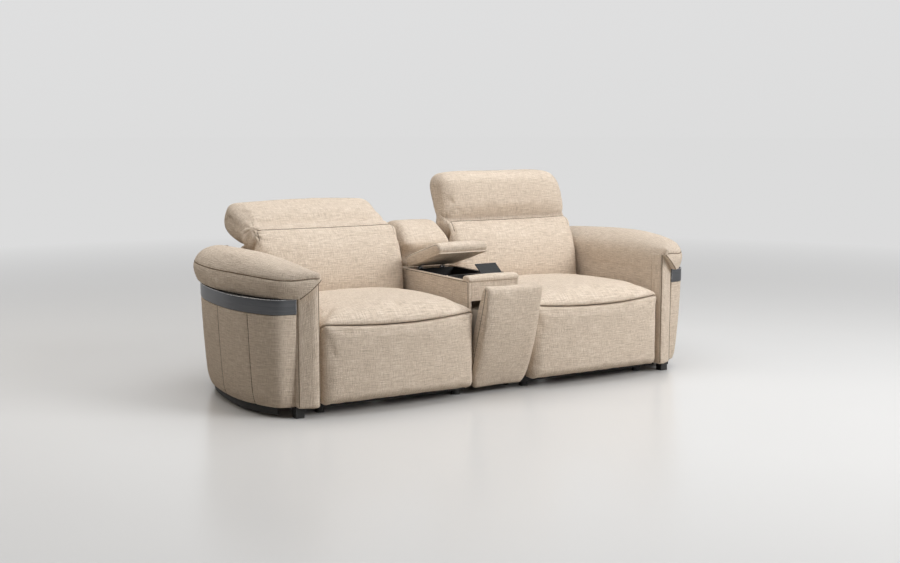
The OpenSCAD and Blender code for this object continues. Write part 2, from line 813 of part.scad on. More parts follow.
drop_shares = [
    [0.14, 0.000, 0, 0], [0.88, 0.000, 0, 0], [1.00, 0.030, 0, 0], [1.00, 0.30, 0, 0], [1.00, 0.60, 0, 0],
    [0.80, 0.88, 0, 0], [0.62, 0.985, 0, 0], [0.48, 1.000, 0, 0], [0.14, 1.000, 0, 0], [0.02, 0.985, 0, 0],
    [0.00, 0.75, -1, 0], [0.00, 0.50, -1, 0], [0.00, 0.25, -1, 0], [0.00, 0.025, 0, 0]
];
module drop_panel() {
    drop_turn(fabric_colour)
        soft_pad(from_shares(drop_shares, 0, base_z + drop_foot, drop_t, drop_h), console_x - drop_in, drop_round,
            crown_y = drop_crown);
}
drop_foot = 7;
drop_in = 2;
drop_round = 12;
drop_crown = 4;

// Bin behind the panel: open at the top, with a lowered rear wall and ears round the pins
module drop_bin() {
    y0 = drop_t + soft_gap;
    y1 = y0 + bin_depth;
    z0 = drop_hinge_z - bin_foot;
    z1 = z0 + bin_front_h;
    w = 2 * (inner_x - bin_side_gap);
    drop_turn(bin_colour) difference() {
        side_plate(-w / 2, w) polygon([
            [y0, z0], [y1, z0 + bin_slope], [y1, z0 + bin_rear_h], [y0 + bin_t, z1], [y0, z1]
        ]);
        side_plate(bin_t - w / 2, w - 2 * bin_t) polygon([
            [y0 + bin_t, z0 + bin_t + bin_slope], [y1 - bin_t, z0 + bin_t + bin_slope], [y1 - bin_t, z1 + over],
            [y0 + bin_t, z1 + over]
        ]);
        cross_pin(-w, w, drop_hinge_y, drop_hinge_z, link_pin_r + pin_clear);
    }
}
bin_colour = [0.62, 0.57, 0.50];
bin_rear_h = 150;
bin_front_h = 205;
bin_slope = 12;
bin_foot = 22;
bin_side_gap = 2;
bin_t = 5;

// Bright catch on the top edge of the bin's left wall
module drop_catch() {
    x0 = bin_side_gap + bin_t - inner_x;
    y0 = drop_t + soft_gap + bin_t;
    z0 = drop_hinge_z - bin_foot + bin_front_h - catch_h;
    drop_turn(chrome_colour) {
        translate([x0, y0, z0]) cube([catch_w, catch_len, catch_h]);
        translate([x0 + catch_w / 2, y0 + catch_len / 2, z0 + catch_h - over])
            cylinder(h = catch_knob_h, r = catch_w / 2);
    }
}
catch_w = 10;
catch_len = 22;
catch_h = 16;
catch_knob_h = 6;

// Seat carriage

module seat_rails(side) {
    seat_place(side, steel_colour)
        for (t = [-1, 1]) mirror([t < 0 ? 1 : 0, 0, 0]) {
            side_plate(plate_x, plate_t) polygon([
                [plate_front, deck_z - plate_h], [plate_rear, deck_z - plate_h], [plate_rear, pivot_z],
                [pivot_y + eye_r, pivot_z + eye_r], [pivot_y - eye_r, pivot_z + eye_r],
                [pivot_y - 2 * eye_r, deck_z], [plate_front, deck_z]
            ]);
            translate([0, shoe_y + shoe_len, 0]) rotate([90, 0, 0]) linear_extrude(shoe_len) shoe_outline();
            cross_pin(rear_link_x, plate_x + over, rear_pivot_y, rear_pivot_z, link_pin_r);
            cross_pin(plate_x, plate_x + 2 * plate_t + layer_gap, pivot_y, pivot_z, pivot_r);
        }
}

// Section of the shoe that hangs over the fixed bar
module shoe_outline() {
    top = slide_z + slide_h + layer_gap;
    x0 = slide_x - layer_gap - shoe_t;
    x1 = slide_x + slide_w + layer_gap + shoe_t;
    polygon([
        [x0, top - flange_h], [x0 + shoe_t, top - flange_h], [x0 + shoe_t, top], [x1 - shoe_t, top],
        [x1 - shoe_t, top - flange_h], [x1, top - flange_h], [x1, top + shoe_t], [plate_x + plate_t, top + shoe_t],
        [plate_x + plate_t, deck_z - plate_h + over], [plate_x, deck_z - plate_h + over], [plate_x, top + shoe_t],
        [x0, top + shoe_t]
    ]);
}

module seat_cross_tubes(side) {
    seat_place(side, steel_colour) {
        for (y = [tube_y, rear_tube_y])
            bar(0, 2 * plate_x, y, tube_d, deck_z - plate_h, tube_h);
        bar(0, act_bracket_w, tube_y + tube_d - over, act_bracket_t + over, act_z - act_bracket_w / 2,
            deck_z - plate_h + tube_h - act_z + act_bracket_w / 2);
    }
}

module seat_webbing(side) {
    pitch = (rear_tube_y - tube_y) / (webbing_n - 1);
    seat_place(side, black_colour)
        for (i = [0:webbing_n - 1])
            bar(0, 2 * (plate_x + plate_t), tube_y + i * pitch - webbing_w / 4, webbing_w, deck_z, webbing_t);
}

seat_shares = [
    [0.162, 0.00, 0, 0], [1.00, 0.00, 0, 0], [1.00, 0.50, 0, 0.2], [0.997, 0.86, 0, 0.4], [0.96, 0.92, 0, 0.8],
    [0.80, 0.96, 0, 1], [0.57, 1.00, 0, 1], [0.37, 1.00, 0, 1.1], [0.20, 0.97, 0, 1.2], [0.10, 0.92, 0, 1.1],
    [0.035, 0.86, 0.6, 0.9], [0.008, 0.80, 0.95, 0.5], [0.00, 0.755, 1, 0.1], [0.004, 0.72, 1, -0.1], [0.05, 0.715, 0.4, -0.1],
    [0.11, 0.715, 0, 0], [0.162, 0.715, 0, 0]
];
module seat_cushion(side) {
    z0 = deck_z + webbing_t + soft_gap;
    seat_place(side, fabric_colour)
        soft_pad(from_shares(seat_shares, 0, z0, seat_len, seat_edge_z - z0), seat_w / 2, edge_round,
            crown_y = -front_bow, crown_z = seat_crown, pull = side_pull);
}

module actuator_rod(side) {
    seat_place(side, chrome_colour)
        translate([0, tube_y + tube_d + act_bracket_t, act_z]) rotate([-90, 0, 0])
            cylinder(h = rod_back - tube_y - tube_d - act_bracket_t, r = rod_r);
}

// Footrest

// Flat bar between two pivots, with an eye at each end
module link_bar(x, from, to, pin_at_end) {
    difference() {
        side_plate(x, link_t) hull() {
            translate(from) circle(r = link_w / 2);
            translate(to) circle(r = link_w / 2);
        }
        cross_pin(x - over, x + link_t + over, from[0], from[1], link_pin_r + pin_clear);
    }
    cross_pin(x - link_t - layer_gap, x + over, to[0], to[1], link_pin_r);
}

module footrest_rear_links(side) {
    seat_place(side, steel_colour)
        for (t = [-1, 1]) mirror([t < 0 ? 1 : 0, 0, 0])
            link_bar(rear_link_x, [rear_pivot_y, rear_pivot_z], [knee_y, knee_z]);
}

module footrest_front_links(side) {
    seat_place(side, steel_colour)
        for (t = [-1, 1]) mirror([t < 0 ? 1 : 0, 0, 0])
            link_bar(front_link_x, [knee_y, knee_z], [toe_y, toe_z]);
}

footrest_in = 2;
footrest_round = 22;
footrest_shares = [
    [0.25, 0.000, 0, 0], [0.80, 0.000, 0, 0], [0.97, 0.012, 0, 0], [1.00, 0.05, 0, 0], [1.00, 0.50, 0, 0],
    [1.00, 0.95, 0, 0], [0.90, 0.995, 0, 0], [0.60, 1.000, 0, 0], [0.20, 1.000, 0.3, 0], [0.04, 0.98, 0.9, 0],
    [0.00, 0.90, 1, 0], [0.00, 0.70, 1, 0], [0.00, 0.45, 1, 0], [0.01, 0.20, 0.95, 0], [0.05, 0.06, 0.8, 0]
];
module footrest_panel(side) {
    seat_place(side, fabric_colour) {
        soft_pad(from_shares(footrest_shares, 0, base_z, footrest_t, footrest_h), seat_w / 2 - footrest_in, footrest_round,
            crown_y = -front_bow);
        for (t = [-1, 1]) mirror([t < 0 ? 1 : 0, 0, 0]) difference() {
            side_plate(ear_x, link_t) hull() {
                translate([toe_y, toe_z]) circle(r = link_w / 2);
                translate([footrest_t - over, toe_z - ear_down]) square([over, ear_down + ear_up]);
            }
            cross_pin(ear_x - over, ear_x + link_t + over, toe_y, toe_z, link_pin_r + pin_clear);
        }
    }
}

// Back: two uprights that carry the recline pivots, and two rails between them

module back_uprights(side) {
    seat_place(side, steel_colour)
        for (t = [-1, 1]) mirror([t < 0 ? 1 : 0, 0, 0]) {
            bar(upright_x + upright_w / 2, upright_w, frame_y, back_frame_t, frame_foot, frame_top - frame_foot);
            difference() {
                side_plate(plate_x + plate_t + layer_gap, plate_t) polygon([
                    [pivot_y - eye_r, pivot_z - eye_r], [frame_y + back_frame_t, pivot_z - eye_r],
                    [frame_y + back_frame_t, back_z - frame_gap], [pivot_y - eye_r, back_z - frame_gap]
                ]);
                cross_pin(plate_x, plate_x + 3 * plate_t, pivot_y, pivot_z, pivot_r + pin_clear);
            }
        }
}

module back_rails(side) {
    seat_place(side, steel_colour) {
        for (z = [back_z, frame_top - tube_h])
            bar(0, 2 * upright_x, frame_y, back_frame_t, z, tube_h);
        for (x = [-head_bracket_x, head_bracket_x])
            difference() {
                side_plate(x - head_bracket_t / 2, head_bracket_t) hull() {
                    translate([head_y, head_z]) circle(r = 2 * shaft_r);
                    translate([frame_y + 3 * frame_gap, frame_top - over]) square([3 * shaft_r, over]);
                }
                cross_pin(x - head_bracket_t, x + head_bracket_t, head_y, head_z, shaft_r + pin_clear);
            }
    }
}
head_bracket_in = 137;
head_bracket_x = seat_w / 2 - head_bracket_in;
head_bracket_t = 8;

back_front_shares = [
    [0.00, 0.228, 0.2, 0], [0.05, 0.435, 0.8, 0], [0.14, 0.627, 1, 0], [0.238, 0.76, 1, 0], [0.354, 0.876, 0.9, 0], [0.50, 0.953, 0.5, 0]
];
back_foot_shares = [[1, 0, 0, 0], [0.024, 0, 0, 0], [0, 0.1, 0, 0]];
module back_cushion(side) {
    y1 = back_y + back_t;
    a_end = full_turn_angle - acos((y1 - head_y) / trough_r);
    front = from_shares(back_front_shares, back_y, back_z, back_t, back_h);
    trough = arc(head_y, head_z, trough_r, trough_start_angle, a_end, 6);
    foot = from_shares(back_foot_shares, back_y, back_z, back_t, back_h);
    rows = concat(front, trough, foot);
    seat_place(side, fabric_colour)
        soft_pad([for (i = [len(rows) - 1:-1:0]) rows[i]], seat_w / 2, back_round, crown_y = -back_crown, pull = back_pull);
}

shell_shares = [[0.40, 0.893, 0, 0], [0.50, 0.817, 0, 0], [0.95, 0.122, 0, 0], [1.00, 0.037, 0, 0], [0.96, 0, 0, 0]];
module back_shell(side) {
    a0 = full_turn_angle - acos((shell_y - head_y) / trough_r);
    top = arc(head_y, head_z, trough_r, a0, trough_end_angle, 3);
    rear = from_shares(shell_shares, shell_y, back_z, shell_len, head_z - back_z);
    rows = concat([[shell_y, back_z, 0, 0]], top, rear);
    seat_place(side, fabric_colour)
        soft_pad([for (i = [len(rows) - 1:-1:0]) rows[i]], seat_w / 2, shell_round);
}
full_turn_angle = 360;
trough_start_angle = 172;
trough_end_angle = 330;
back_round = 26;
back_pull = 4;
shell_round = 14;

// Headrest: a pad whose rounded root turns in the trough, on a shaft held by two brackets
head_shares = [
    [1.00, 0.76, 0, 0], [0.95, 0.90, 0, 0], [0.75, 0.975, 0, 0], [0.46, 1.00, 0, 0], [0.20, 0.99, 0, 0],
    [-0.02, 0.96, 0.4, 0], [-0.15, 0.88, 0.8, 0], [-0.23, 0.74, 1, 0], [-0.31, 0.53, 1, 0], [-0.38, 0.32, 0.7, 0]
];
module head_turn(side, colour) {
    tilt = side < 0 ? -headrest_tilt : 0;
    seat_place(side, colour) translate([0, head_y, head_z]) rotate([tilt, 0, 0]) children();
}

module headrest_pad(side) {
    outline = from_shares(head_shares, 0, 0, headrest_t, headrest_h);
    root = arc(0, 0, root_r, root_start_angle, root_end_angle, 11);
    rear = from_shares(head_rear_shares, 0, 0, headrest_t, headrest_h);
    groove_r = (root_r + groove_gap) / cos(groove_step_angle / 2);
    head_turn(side, fabric_colour) difference() {
        soft_pad(concat(outline, root, rear), headrest_w / 2, head_round, crown_y = -head_crown, pull = head_pull,
            drop = head_drop);
        cross_pin(-headrest_w, headrest_w, 0, 0, shaft_r + pin_clear);
        for (x = [-head_bracket_x, head_bracket_x])
            side_plate(x - head_bracket_t / 2 - groove_gap, head_bracket_t + 2 * groove_gap) {
                circle(r = 3 * shaft_r + groove_gap);
                polygon(concat([[0, 0]], [for (a = [groove_start_angle:groove_step_angle:groove_end_angle]) groove_r * [cos(a), sin(a)]]));
            }
    }
}
head_rear_shares = [[0.62, 0.26, 0, 0], [0.84, 0.45, 0, 0]];
root_start_angle = 149;
root_end_angle = 394;
head_round = 24;
head_crown = 14;
head_pull = 3;
head_drop = 26;
groove_gap = 3;
groove_start_angle = 235;
groove_step_angle = 29;
groove_end_angle = 380;

shaft_in = 30;
module headrest_shaft(side) {
    head_turn(side, steel_colour) cross_pin(shaft_in - headrest_w / 2, headrest_w / 2 - shaft_in, 0, 0, shaft_r);
}

feet();
base_cross_rails();
base_runners();
slide_rails();
actuator_tubes();
rear_panels();
arm_frame(-1);  // arm_frame_left
arm_frame(1);  // arm_frame_right
arm_side_panel(-1);  // arm_side_panel_left
arm_side_panel(1);  // arm_side_panel_right
arm_inner_panel(-1);  // arm_inner_panel_left
arm_inner_panel(1);  // arm_inner_panel_right
arm_post(-1);  // arm_post_left
arm_post(1);  // arm_post_right
arm_pad(-1);  // arm_pad_left
arm_pad(1);  // arm_pad_right
arm_bands();
arm_base_boards();
console_walls();
console_boards();
console_storage();
console_tray();
console_front_roll();
console_back_pad();
lid_hinge_brackets();
lid_pad();
lid_board();
lid_hinge_leaves();
drop_panel();
drop_bin();
drop_catch();
tray_flap();
seat_rails(-1);  // seat_rails_left
seat_rails(1);  // seat_rails_right
seat_cross_tubes(-1);  // seat_cross_tubes_left
seat_cross_tubes(1);  // seat_cross_tubes_right
seat_webbing(-1);  // seat_webbing_left
seat_webbing(1);  // seat_webbing_right
seat_cushion(-1);  // seat_cushion_left
seat_cushion(1);  // seat_cushion_right
actuator_rod(-1);  // actuator_rod_left
actuator_rod(1);  // actuator_rod_right
footrest_rear_links(-1);  // footrest_rear_links_left
footrest_rear_links(1);  // footrest_rear_links_right
footrest_front_links(-1);  // footrest_front_links_left
footrest_front_links(1);  // footrest_front_links_right
footrest_panel(-1);  // footrest_panel_left
footrest_panel(1);  // footrest_panel_right
back_uprights(-1);  // back_uprights_left
back_uprights(1);  // back_uprights_right
back_rails(-1);  // back_rails_left
back_rails(1);  // back_rails_right
back_cushion(-1);  // back_cushion_left
back_cushion(1);  // back_cushion_right
back_shell(-1);  // back_shell_left
back_shell(1);  // back_shell_right
headrest_pad(-1);  // headrest_pad_left
headrest_pad(1);  // headrest_pad_right
headrest_shaft(-1);  // headrest_shaft_left
headrest_shaft(1);  // headrest_shaft_right
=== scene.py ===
import bpy
import bmesh
import json
import math
import numpy as np
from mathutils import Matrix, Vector, noise
from mathutils.bvhtree import BVHTree
from mathutils.geometry import delaunay_2d_cdt

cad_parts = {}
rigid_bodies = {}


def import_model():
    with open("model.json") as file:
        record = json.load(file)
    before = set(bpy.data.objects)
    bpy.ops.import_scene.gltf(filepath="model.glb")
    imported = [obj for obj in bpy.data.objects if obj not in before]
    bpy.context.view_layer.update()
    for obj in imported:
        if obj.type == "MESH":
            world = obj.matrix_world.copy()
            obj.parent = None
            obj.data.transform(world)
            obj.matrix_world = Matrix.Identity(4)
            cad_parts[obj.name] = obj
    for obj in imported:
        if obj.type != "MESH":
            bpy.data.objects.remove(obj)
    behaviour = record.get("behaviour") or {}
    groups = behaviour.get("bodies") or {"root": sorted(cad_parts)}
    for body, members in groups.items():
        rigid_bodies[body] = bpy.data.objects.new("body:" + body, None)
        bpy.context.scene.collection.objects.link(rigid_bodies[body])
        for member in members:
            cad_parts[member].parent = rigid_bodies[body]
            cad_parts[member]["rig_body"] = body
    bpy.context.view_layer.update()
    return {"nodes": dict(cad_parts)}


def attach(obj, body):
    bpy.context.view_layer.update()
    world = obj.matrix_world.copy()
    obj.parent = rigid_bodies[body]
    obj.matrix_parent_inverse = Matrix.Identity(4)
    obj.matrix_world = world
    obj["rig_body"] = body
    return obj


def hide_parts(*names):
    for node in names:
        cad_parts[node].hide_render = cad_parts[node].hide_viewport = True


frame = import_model()

# Lengths are millimetres from the sofa's front line, but metres where a comment says so.
FRONT = 489.0          # from the sofa's front line to the row frame's origin
STEP = 10.0            # grid step of the soft pieces
SIDES = (("left", -1), ("right", 1))


# Materials
def blank_material(name):
    material = bpy.data.materials.new(name)
    material.use_nodes = True
    tree = material.node_tree
    tree.nodes.clear()
    out = tree.nodes.new("ShaderNodeOutputMaterial")
    surface = tree.nodes.new("ShaderNodeBsdfPrincipled")
    tree.links.new(surface.outputs[0], out.inputs[0])
    return material, tree, surface


def math_node(t, operation, a, b=None, c=None, clamp=False):
    n = t.nodes.new("ShaderNodeMath")
    n.operation = operation
    n.use_clamp = clamp
    for i, v in enumerate((a, b, c)):
        if v is None:
            continue
        if isinstance(v, (int, float)):
            n.inputs[i].default_value = v
        else:
            t.links.new(v, n.inputs[i])
    return n.outputs[0]


def ramp(t, factor, stops):
    """Colour ramp from stops of place and colour."""
    n = t.nodes.new("ShaderNodeValToRGB")
    elements = n.color_ramp.elements
    while len(elements) < len(stops):
        elements.new(0.5)
    for element, (place, colour) in zip(elements, stops):
        element.position = place
        element.color = (*colour, 1)
    t.links.new(factor, n.inputs[0])
    return n.outputs[0]


def mix_colour(t, factor, a, b):
    n = t.nodes.new("ShaderNodeMix")
    n.data_type = "RGBA"
    for socket, v in ((n.inputs[0], factor), (n.inputs[6], a), (n.inputs[7], b)):
        if isinstance(v, tuple):
            socket.default_value = (*v, 1)
        else:
            t.links.new(v, socket)
    return n.outputs[2]


def mix_value(t, factor, a, b):
    n = t.nodes.new("ShaderNodeMix")
    for socket, v in zip(n.inputs[:1] + n.inputs[2:4], (factor, a, b)):
        t.links.new(v, socket)
    return n.outputs[0]


def scaled(t, vector, x, y, z=1.0, shift=(0, 0, 0)):
    n = t.nodes.new("ShaderNodeMapping")
    n.inputs["Scale"].default_value = (x, y, z)
    n.inputs["Location"].default_value = shift
    t.links.new(vector, n.inputs["Vector"])
    return n.outputs[0]


def noise_node(t, vector, scale, detail=2.0, rough=0.5, dims="3D"):
    n = t.nodes.new("ShaderNodeTexNoise")
    n.noise_dimensions = dims
    n.inputs["Scale"].default_value = scale
    n.inputs["Detail"].default_value = detail
    n.inputs["Roughness"].default_value = rough
    t.links.new(vector, n.inputs["Vector"])
    return n


def noise_of(*args, **kw):
    return noise_node(*args, **kw).outputs["Fac"]


def relief(t, surface, height, strength, distance):
    """Bump from a height; the distance is in metres."""
    n = t.nodes.new("ShaderNodeBump")
    n.inputs["Strength"].default_value = strength
    n.inputs["Distance"].default_value = distance
    t.links.new(height, n.inputs["Height"])
    t.links.new(n.outputs[0], surface.inputs["Normal"])


THREAD_LIGHT = (0.75, 0.658, 0.558)
THREAD_MID = (0.635, 0.532, 0.430)
THREAD_DARK = (0.300, 0.225, 0.160)
LINEN_TONE = 1.08
WEAVE_MEAN = 1.595     # mean of the summed thread heights
WEAVE_CONTRAST = 0.82


def place_on_side(t, coordinates):
    """Flat pattern coordinates by place, for pieces without a UV map: x or y across, z or y + z up."""
    place = t.nodes.new("ShaderNodeSeparateXYZ")
    t.links.new(coordinates.outputs["Object"], place.inputs[0])
    facing = t.nodes.new("ShaderNodeSeparateXYZ")
    t.links.new(coordinates.outputs["Normal"], facing.inputs[0])
    x, y, z = place.outputs
    sideways = math_node(t, "GREATER_THAN", math_node(t, "ABSOLUTE", facing.outputs[0]), 0.7)
    flat = t.nodes.new("ShaderNodeCombineXYZ")
    t.links.new(mix_value(t, sideways, x, y), flat.inputs[0])
    t.links.new(mix_value(t, sideways, math_node(t, "ADD", y, z), z), flat.inputs[1])
    return flat.outputs[0]


def weave(t, vector):
    """Height of slubby threads both ways, thick and fine, from 0 to 1."""
    wander = noise_node(t, vector, 9.0, 1.0, dims="2D")
    bent = t.nodes.new("ShaderNodeVectorMath")
    bent.operation = "MULTIPLY_ADD"
    t.links.new(wander.outputs["Color"], bent.inputs[0])
    bent.inputs[1].default_value = (0.006, 0.006, 0)
    t.links.new(vector, bent.inputs[2])
    v = bent.outputs[0]
    weft = noise_of(t, scaled(t, v, 15, 290), 1.0, 2.0, 0.55, "2D")
    warp = noise_of(t, scaled(t, v, 300, 26, 1, (3.1, 7.7, 0)), 1.0, 2.0, 0.55, "2D")
    fine_weft = noise_of(t, scaled(t, v, 45, 640, 1, (5.2, 1.3, 0)), 1.0, 1.0, 0.5, "2D")
    fine_warp = noise_of(t, scaled(t, v, 640, 70, 1, (1.7, 4.4, 0)), 1.0, 1.0, 0.5, "2D")
    grain = noise_of(t, v, 900.0, 1.0, 0.6, "2D")
    patches = noise_of(t, v, 3.0, 2.0, 0.5, "2D")
    thick = math_node(t, "MULTIPLY_ADD", warp, 0.80, weft)
    fine = math_node(t, "MULTIPLY_ADD", fine_warp, 0.80, fine_weft)
    s = math_node(t, "MULTIPLY_ADD", fine, 0.55, thick)
    s = math_node(t, "MULTIPLY_ADD", grain, 0.30, s)
    s = math_node(t, "MULTIPLY_ADD", patches, 0.10, s)
    s = math_node(t, "SUBTRACT", s, WEAVE_MEAN)
    return math_node(t, "MULTIPLY_ADD", s, WEAVE_CONTRAST, 0.5, clamp=True)


def linen(name, own_uv):
    """Slubby linen: light and dark thick threads both ways over a fine grain."""
    def tinted(colour, share):
        return tuple(min(1, c * LINEN_TONE * share) for c in colour)

    material, t, surface = blank_material(name)
    coordinates = t.nodes.new("ShaderNodeTexCoord")
    height = weave(t, coordinates.outputs["UV"] if own_uv else place_on_side(t, coordinates))
    stops = [(0.0, tinted(THREAD_DARK, 1.25)), (0.30, tinted(THREAD_MID, 0.88)),
             (0.52, tinted(THREAD_MID, 1.03)), (0.74, tinted(THREAD_LIGHT, 1)),
             (1.0, tinted(THREAD_LIGHT, 1.12))]
    t.links.new(ramp(t, height, stops), surface.inputs["Base Color"])
    t.links.new(math_node(t, "MULTIPLY_ADD", height, -0.08, 0.96), surface.inputs["Roughness"])
    relief(t, surface, height, 1.0, 0.0024)
    surface.inputs["Specular IOR Level"].default_value = 0.22
    surface.inputs["Sheen Weight"].default_value = 0.12
    surface.inputs["Sheen Roughness"].default_value = 0.5
    surface.inputs["Sheen Tint"].default_value = (1.0, 0.95, 0.88, 1)
    return material


def solid(name, dark, light, rough, metal=0.0, scale=60.0, stretch=(1, 1, 1), bump=0.0, detail=3.0, spec=0.5):
    """One finish whose colour and roughness wander between two ends."""
    material, t, surface = blank_material(name)
    coordinates = t.nodes.new("ShaderNodeTexCoord")
    n = noise_of(t, scaled(t, coordinates.outputs["Object"], *stretch), scale, detail)
    t.links.new(ramp(t, n, [(0.3, dark), (0.7, light)]), surface.inputs["Base Color"])
    t.links.new(math_node(t, "MULTIPLY_ADD", n, rough[1] - rough[0], rough[0]), surface.inputs["Roughness"])
    surface.inputs["Metallic"].default_value = metal
    surface.inputs["Specular IOR Level"].default_value = spec
    if bump:
        relief(t, surface, n, bump, 0.001)
    return material


LINEN = linen("linen", own_uv=True)
LINEN_BY_PLACE = linen("linen_by_place", own_uv=False)
# Dark brown piping and seam welts, far darker than the linen: painted shade along the welts.
PIPING_SHADE = solid("linen_piping_shade", (0.150, 0.110, 0.075), (0.235, 0.178, 0.125), (0.9, 1.0), scale=400, spec=0.08)
# Dark brown seam line: painted shade of a seam's groove.
SEAM_SHADE = solid("seam_shadow", (0.16, 0.125, 0.09), (0.24, 0.19, 0.145), (0.9, 1.0), scale=300)
BAND = solid("satin_band", (0.098, 0.100, 0.106), (0.132, 0.135, 0.142), (0.34, 0.44), metal=1.0, scale=8,
             stretch=(1, 1, 60), detail=4, bump=0.05)
BLACK = solid("moulded_black", (0.006, 0.006, 0.0065), (0.012, 0.012, 0.013), (0.38, 0.55), scale=220,
              bump=0.15)
BASE = solid("painted_base", (0.010, 0.010, 0.010), (0.022, 0.021, 0.020), (0.55, 0.7), scale=90, bump=0.1)
STEEL = solid("rail_steel", (0.20, 0.20, 0.21), (0.34, 0.34, 0.35), (0.28, 0.45), metal=1.0, scale=30,
              stretch=(1, 1, 8))
CHROME = solid("bright_catch", (0.80, 0.80, 0.80), (0.90, 0.90, 0.91), (0.06, 0.12), metal=1.0, scale=40)
PLYWOOD = solid("plywood", (0.42, 0.28, 0.16), (0.62, 0.45, 0.28), (0.5, 0.65), scale=14, stretch=(1, 1, 14),
                detail=5, bump=0.1)
# Near-black cloth on the console's storage, and on the arm frames painted shade under the arm pads.
LINER_AND_SHADE = solid("liner_cloth_and_shade", (0.018, 0.018, 0.019), (0.045, 0.044, 0.043), (0.85, 0.95), scale=500, bump=0.3)
BIN = solid("bin_shell", (0.42, 0.375, 0.325), (0.47, 0.425, 0.37), (0.42, 0.5), scale=160, bump=0.06)
FLAP = solid("flap_charcoal", (0.014, 0.0145, 0.015), (0.024, 0.025, 0.026), (0.50, 0.62), scale=120,
             bump=0.06, spec=0.22)
WEBBING = solid("webbing", (0.05, 0.045, 0.04), (0.12, 0.11, 0.10), (0.8, 0.95), scale=200, stretch=(1, 3, 1),
                bump=0.3)
HINGE = solid("hinge_steel", (0.42, 0.42, 0.43), (0.60, 0.60, 0.61), (0.2, 0.35), metal=1.0, scale=60)


# Outline tools
def shares(rows, y, z, depth, height):
    """Rows of shares of a depth and a height as places; the last two columns stay."""
    return [(y + depth * r[0], z + height * r[1], r[2], r[3]) for r in rows]


def arc(y, z, radius, start, end, n):
    """Round stretch of an outline, in degrees."""
    turns = [math.radians(start + (end - start) * i / n) for i in range(n + 1)]
    return [(y + radius * math.cos(a), z + radius * math.sin(a), 0, 0) for a in turns]


def lengths(points):
    """Distance along a path at each of its points."""
    return np.concatenate([[0], np.cumsum(np.linalg.norm(np.diff(points, axis=0), axis=1))])


def around(points):
    """Distance round a closed path at each of its points and back at the first."""
    return lengths(np.vstack([points, points[:1]]))


def between(a, b, ta, tb, s):
    return a * (tb - s) / (tb - ta) + b * (s - ta) / (tb - ta)


def spline(rows, step, closed=True, dims=2):
    """Even points along a centripetal curve through the rows; distance counts the first dims columns."""
    P = np.array(rows, float)
    n = len(P)
    out = []
    for i in range(n if closed else n - 1):
        if closed:
            p = [P[(i + k) % n] for k in (-1, 0, 1, 2)]
        else:
            p = [P[max(0, i - 1)], P[i], P[i + 1], P[min(n - 1, i + 2)]]
            if i == 0:
                p[0] = 2 * p[1] - p[2]
            if i == n - 2:
                p[3] = 2 * p[2] - p[1]
        d = [max(1e-3, np.linalg.norm((p[k + 1] - p[k])[:dims])) ** 0.5 for k in range(3)]
        t = [0, d[0], d[0] + d[1], d[0] + d[1] + d[2]]
        for s in np.linspace(t[1], t[2], 17)[:-1]:
            a = [between(p[k], p[k + 1], t[k], t[k + 1], s) for k in range(3)]
            b = [between(a[k], a[k + 1], t[k], t[k + 2], s) for k in range(2)]
            out.append(between(b[0], b[1], t[1], t[2], s))
    out.append(P[0] if closed else P[-1])
    out = np.array(out)
    along = lengths(out[:, :dims])
    count = max(6, int(round(along[-1] / step)))
    at = np.linspace(0, along[-1], count + 1)
    if closed:
        at = at[:-1]
    return np.stack([np.interp(at, along, out[:, k]) for k in range(out.shape[1])], 1), along[-1]


def rounded_corners(corners, radii, n=7):
    """Closed outline with its corners rounded."""
    out = []
    for i, radius in enumerate(radii):
        before, corner, after = (np.array(corners[(i + k) % len(corners)], float) for k in (-1, 0, 1))
        u, v = before - corner, after - corner
        u_long, v_long = np.linalg.norm(u), np.linalg.norm(v)
        u, v = u / u_long, v / v_long
        angle = math.acos(max(-1, min(1, u @ v)))
        cut_back = min(radius / math.tan(angle / 2), u_long * 0.48, v_long * 0.48)
        first, last = corner + u * cut_back, corner + v * cut_back
        for s in np.linspace(0, 1, n):
            out.append((1 - s) ** 2 * first + 2 * s * (1 - s) * corner + s * s * last)
    return out


def even_round(points, step):
    """Even points round a closed outline."""
    P = np.array(points + [points[0]], float)
    along = lengths(P)
    at = np.linspace(0, along[-1], int(along[-1] / step) + 1)[:-1]
    return np.stack([np.interp(at, along, P[:, k]) for k in range(2)], 1)


def inside(points, outline):
    x, y = points[:, 0], points[:, 1]
    hit = np.zeros(len(points), bool)
    for (x1, y1), (x0, y0) in zip(outline, np.roll(outline, 1, 0)):
        hit ^= ((y1 > y) != (y0 > y)) & (x < (x0 - x1) * (y - y1) / (y0 - y1 + 1e-12) + x1)
    return hit


def path_distance(points, path):
    """Distance of each point from the nearest place on a path."""
    best = np.full(len(points), 1e9)
    for p, q in zip(path[:-1], path[1:]):
        d = q - p
        s = np.clip(((points - p) @ d) / (d @ d + 1e-12), 0, 1)
        best = np.minimum(best, np.linalg.norm(points - (p + s[:, None] * d), axis=1))
    return best


def edge_distance(points, outline):
    return path_distance(points, np.vstack([outline, outline[:1]]))


def turned(y, z, pivot_y, pivot_z, degrees):
    """Places turned about a pivot."""
    a = math.radians(degrees)
    dy, dz = y - pivot_y, z - pivot_z
    return pivot_y + dy * math.cos(a) - dz * math.sin(a), pivot_z + dy * math.sin(a) + dz * math.cos(a)


def to_metres(path):
    """Row frame coordinates in metres."""
    p = np.array(path, float)
    return np.stack([p[:, 0] / 1000, (p[:, 1] - FRONT) / 1000, p[:, 2] / 1000], 1)


# Mesh tools
def coords(o):
    a = np.empty(len(o.data.vertices) * 3)
    o.data.vertices.foreach_get("co", a)
    return a.reshape(-1, 3)


def normals(o):
    a = np.empty(len(o.data.vertices) * 3, np.float32)
    o.data.vertex_normals.foreach_get("vector", a)
    return a.reshape(-1, 3).astype(float)


def put(o, places):
    o.data.vertices.foreach_set("co", np.asarray(places, float).ravel())
    o.data.update()


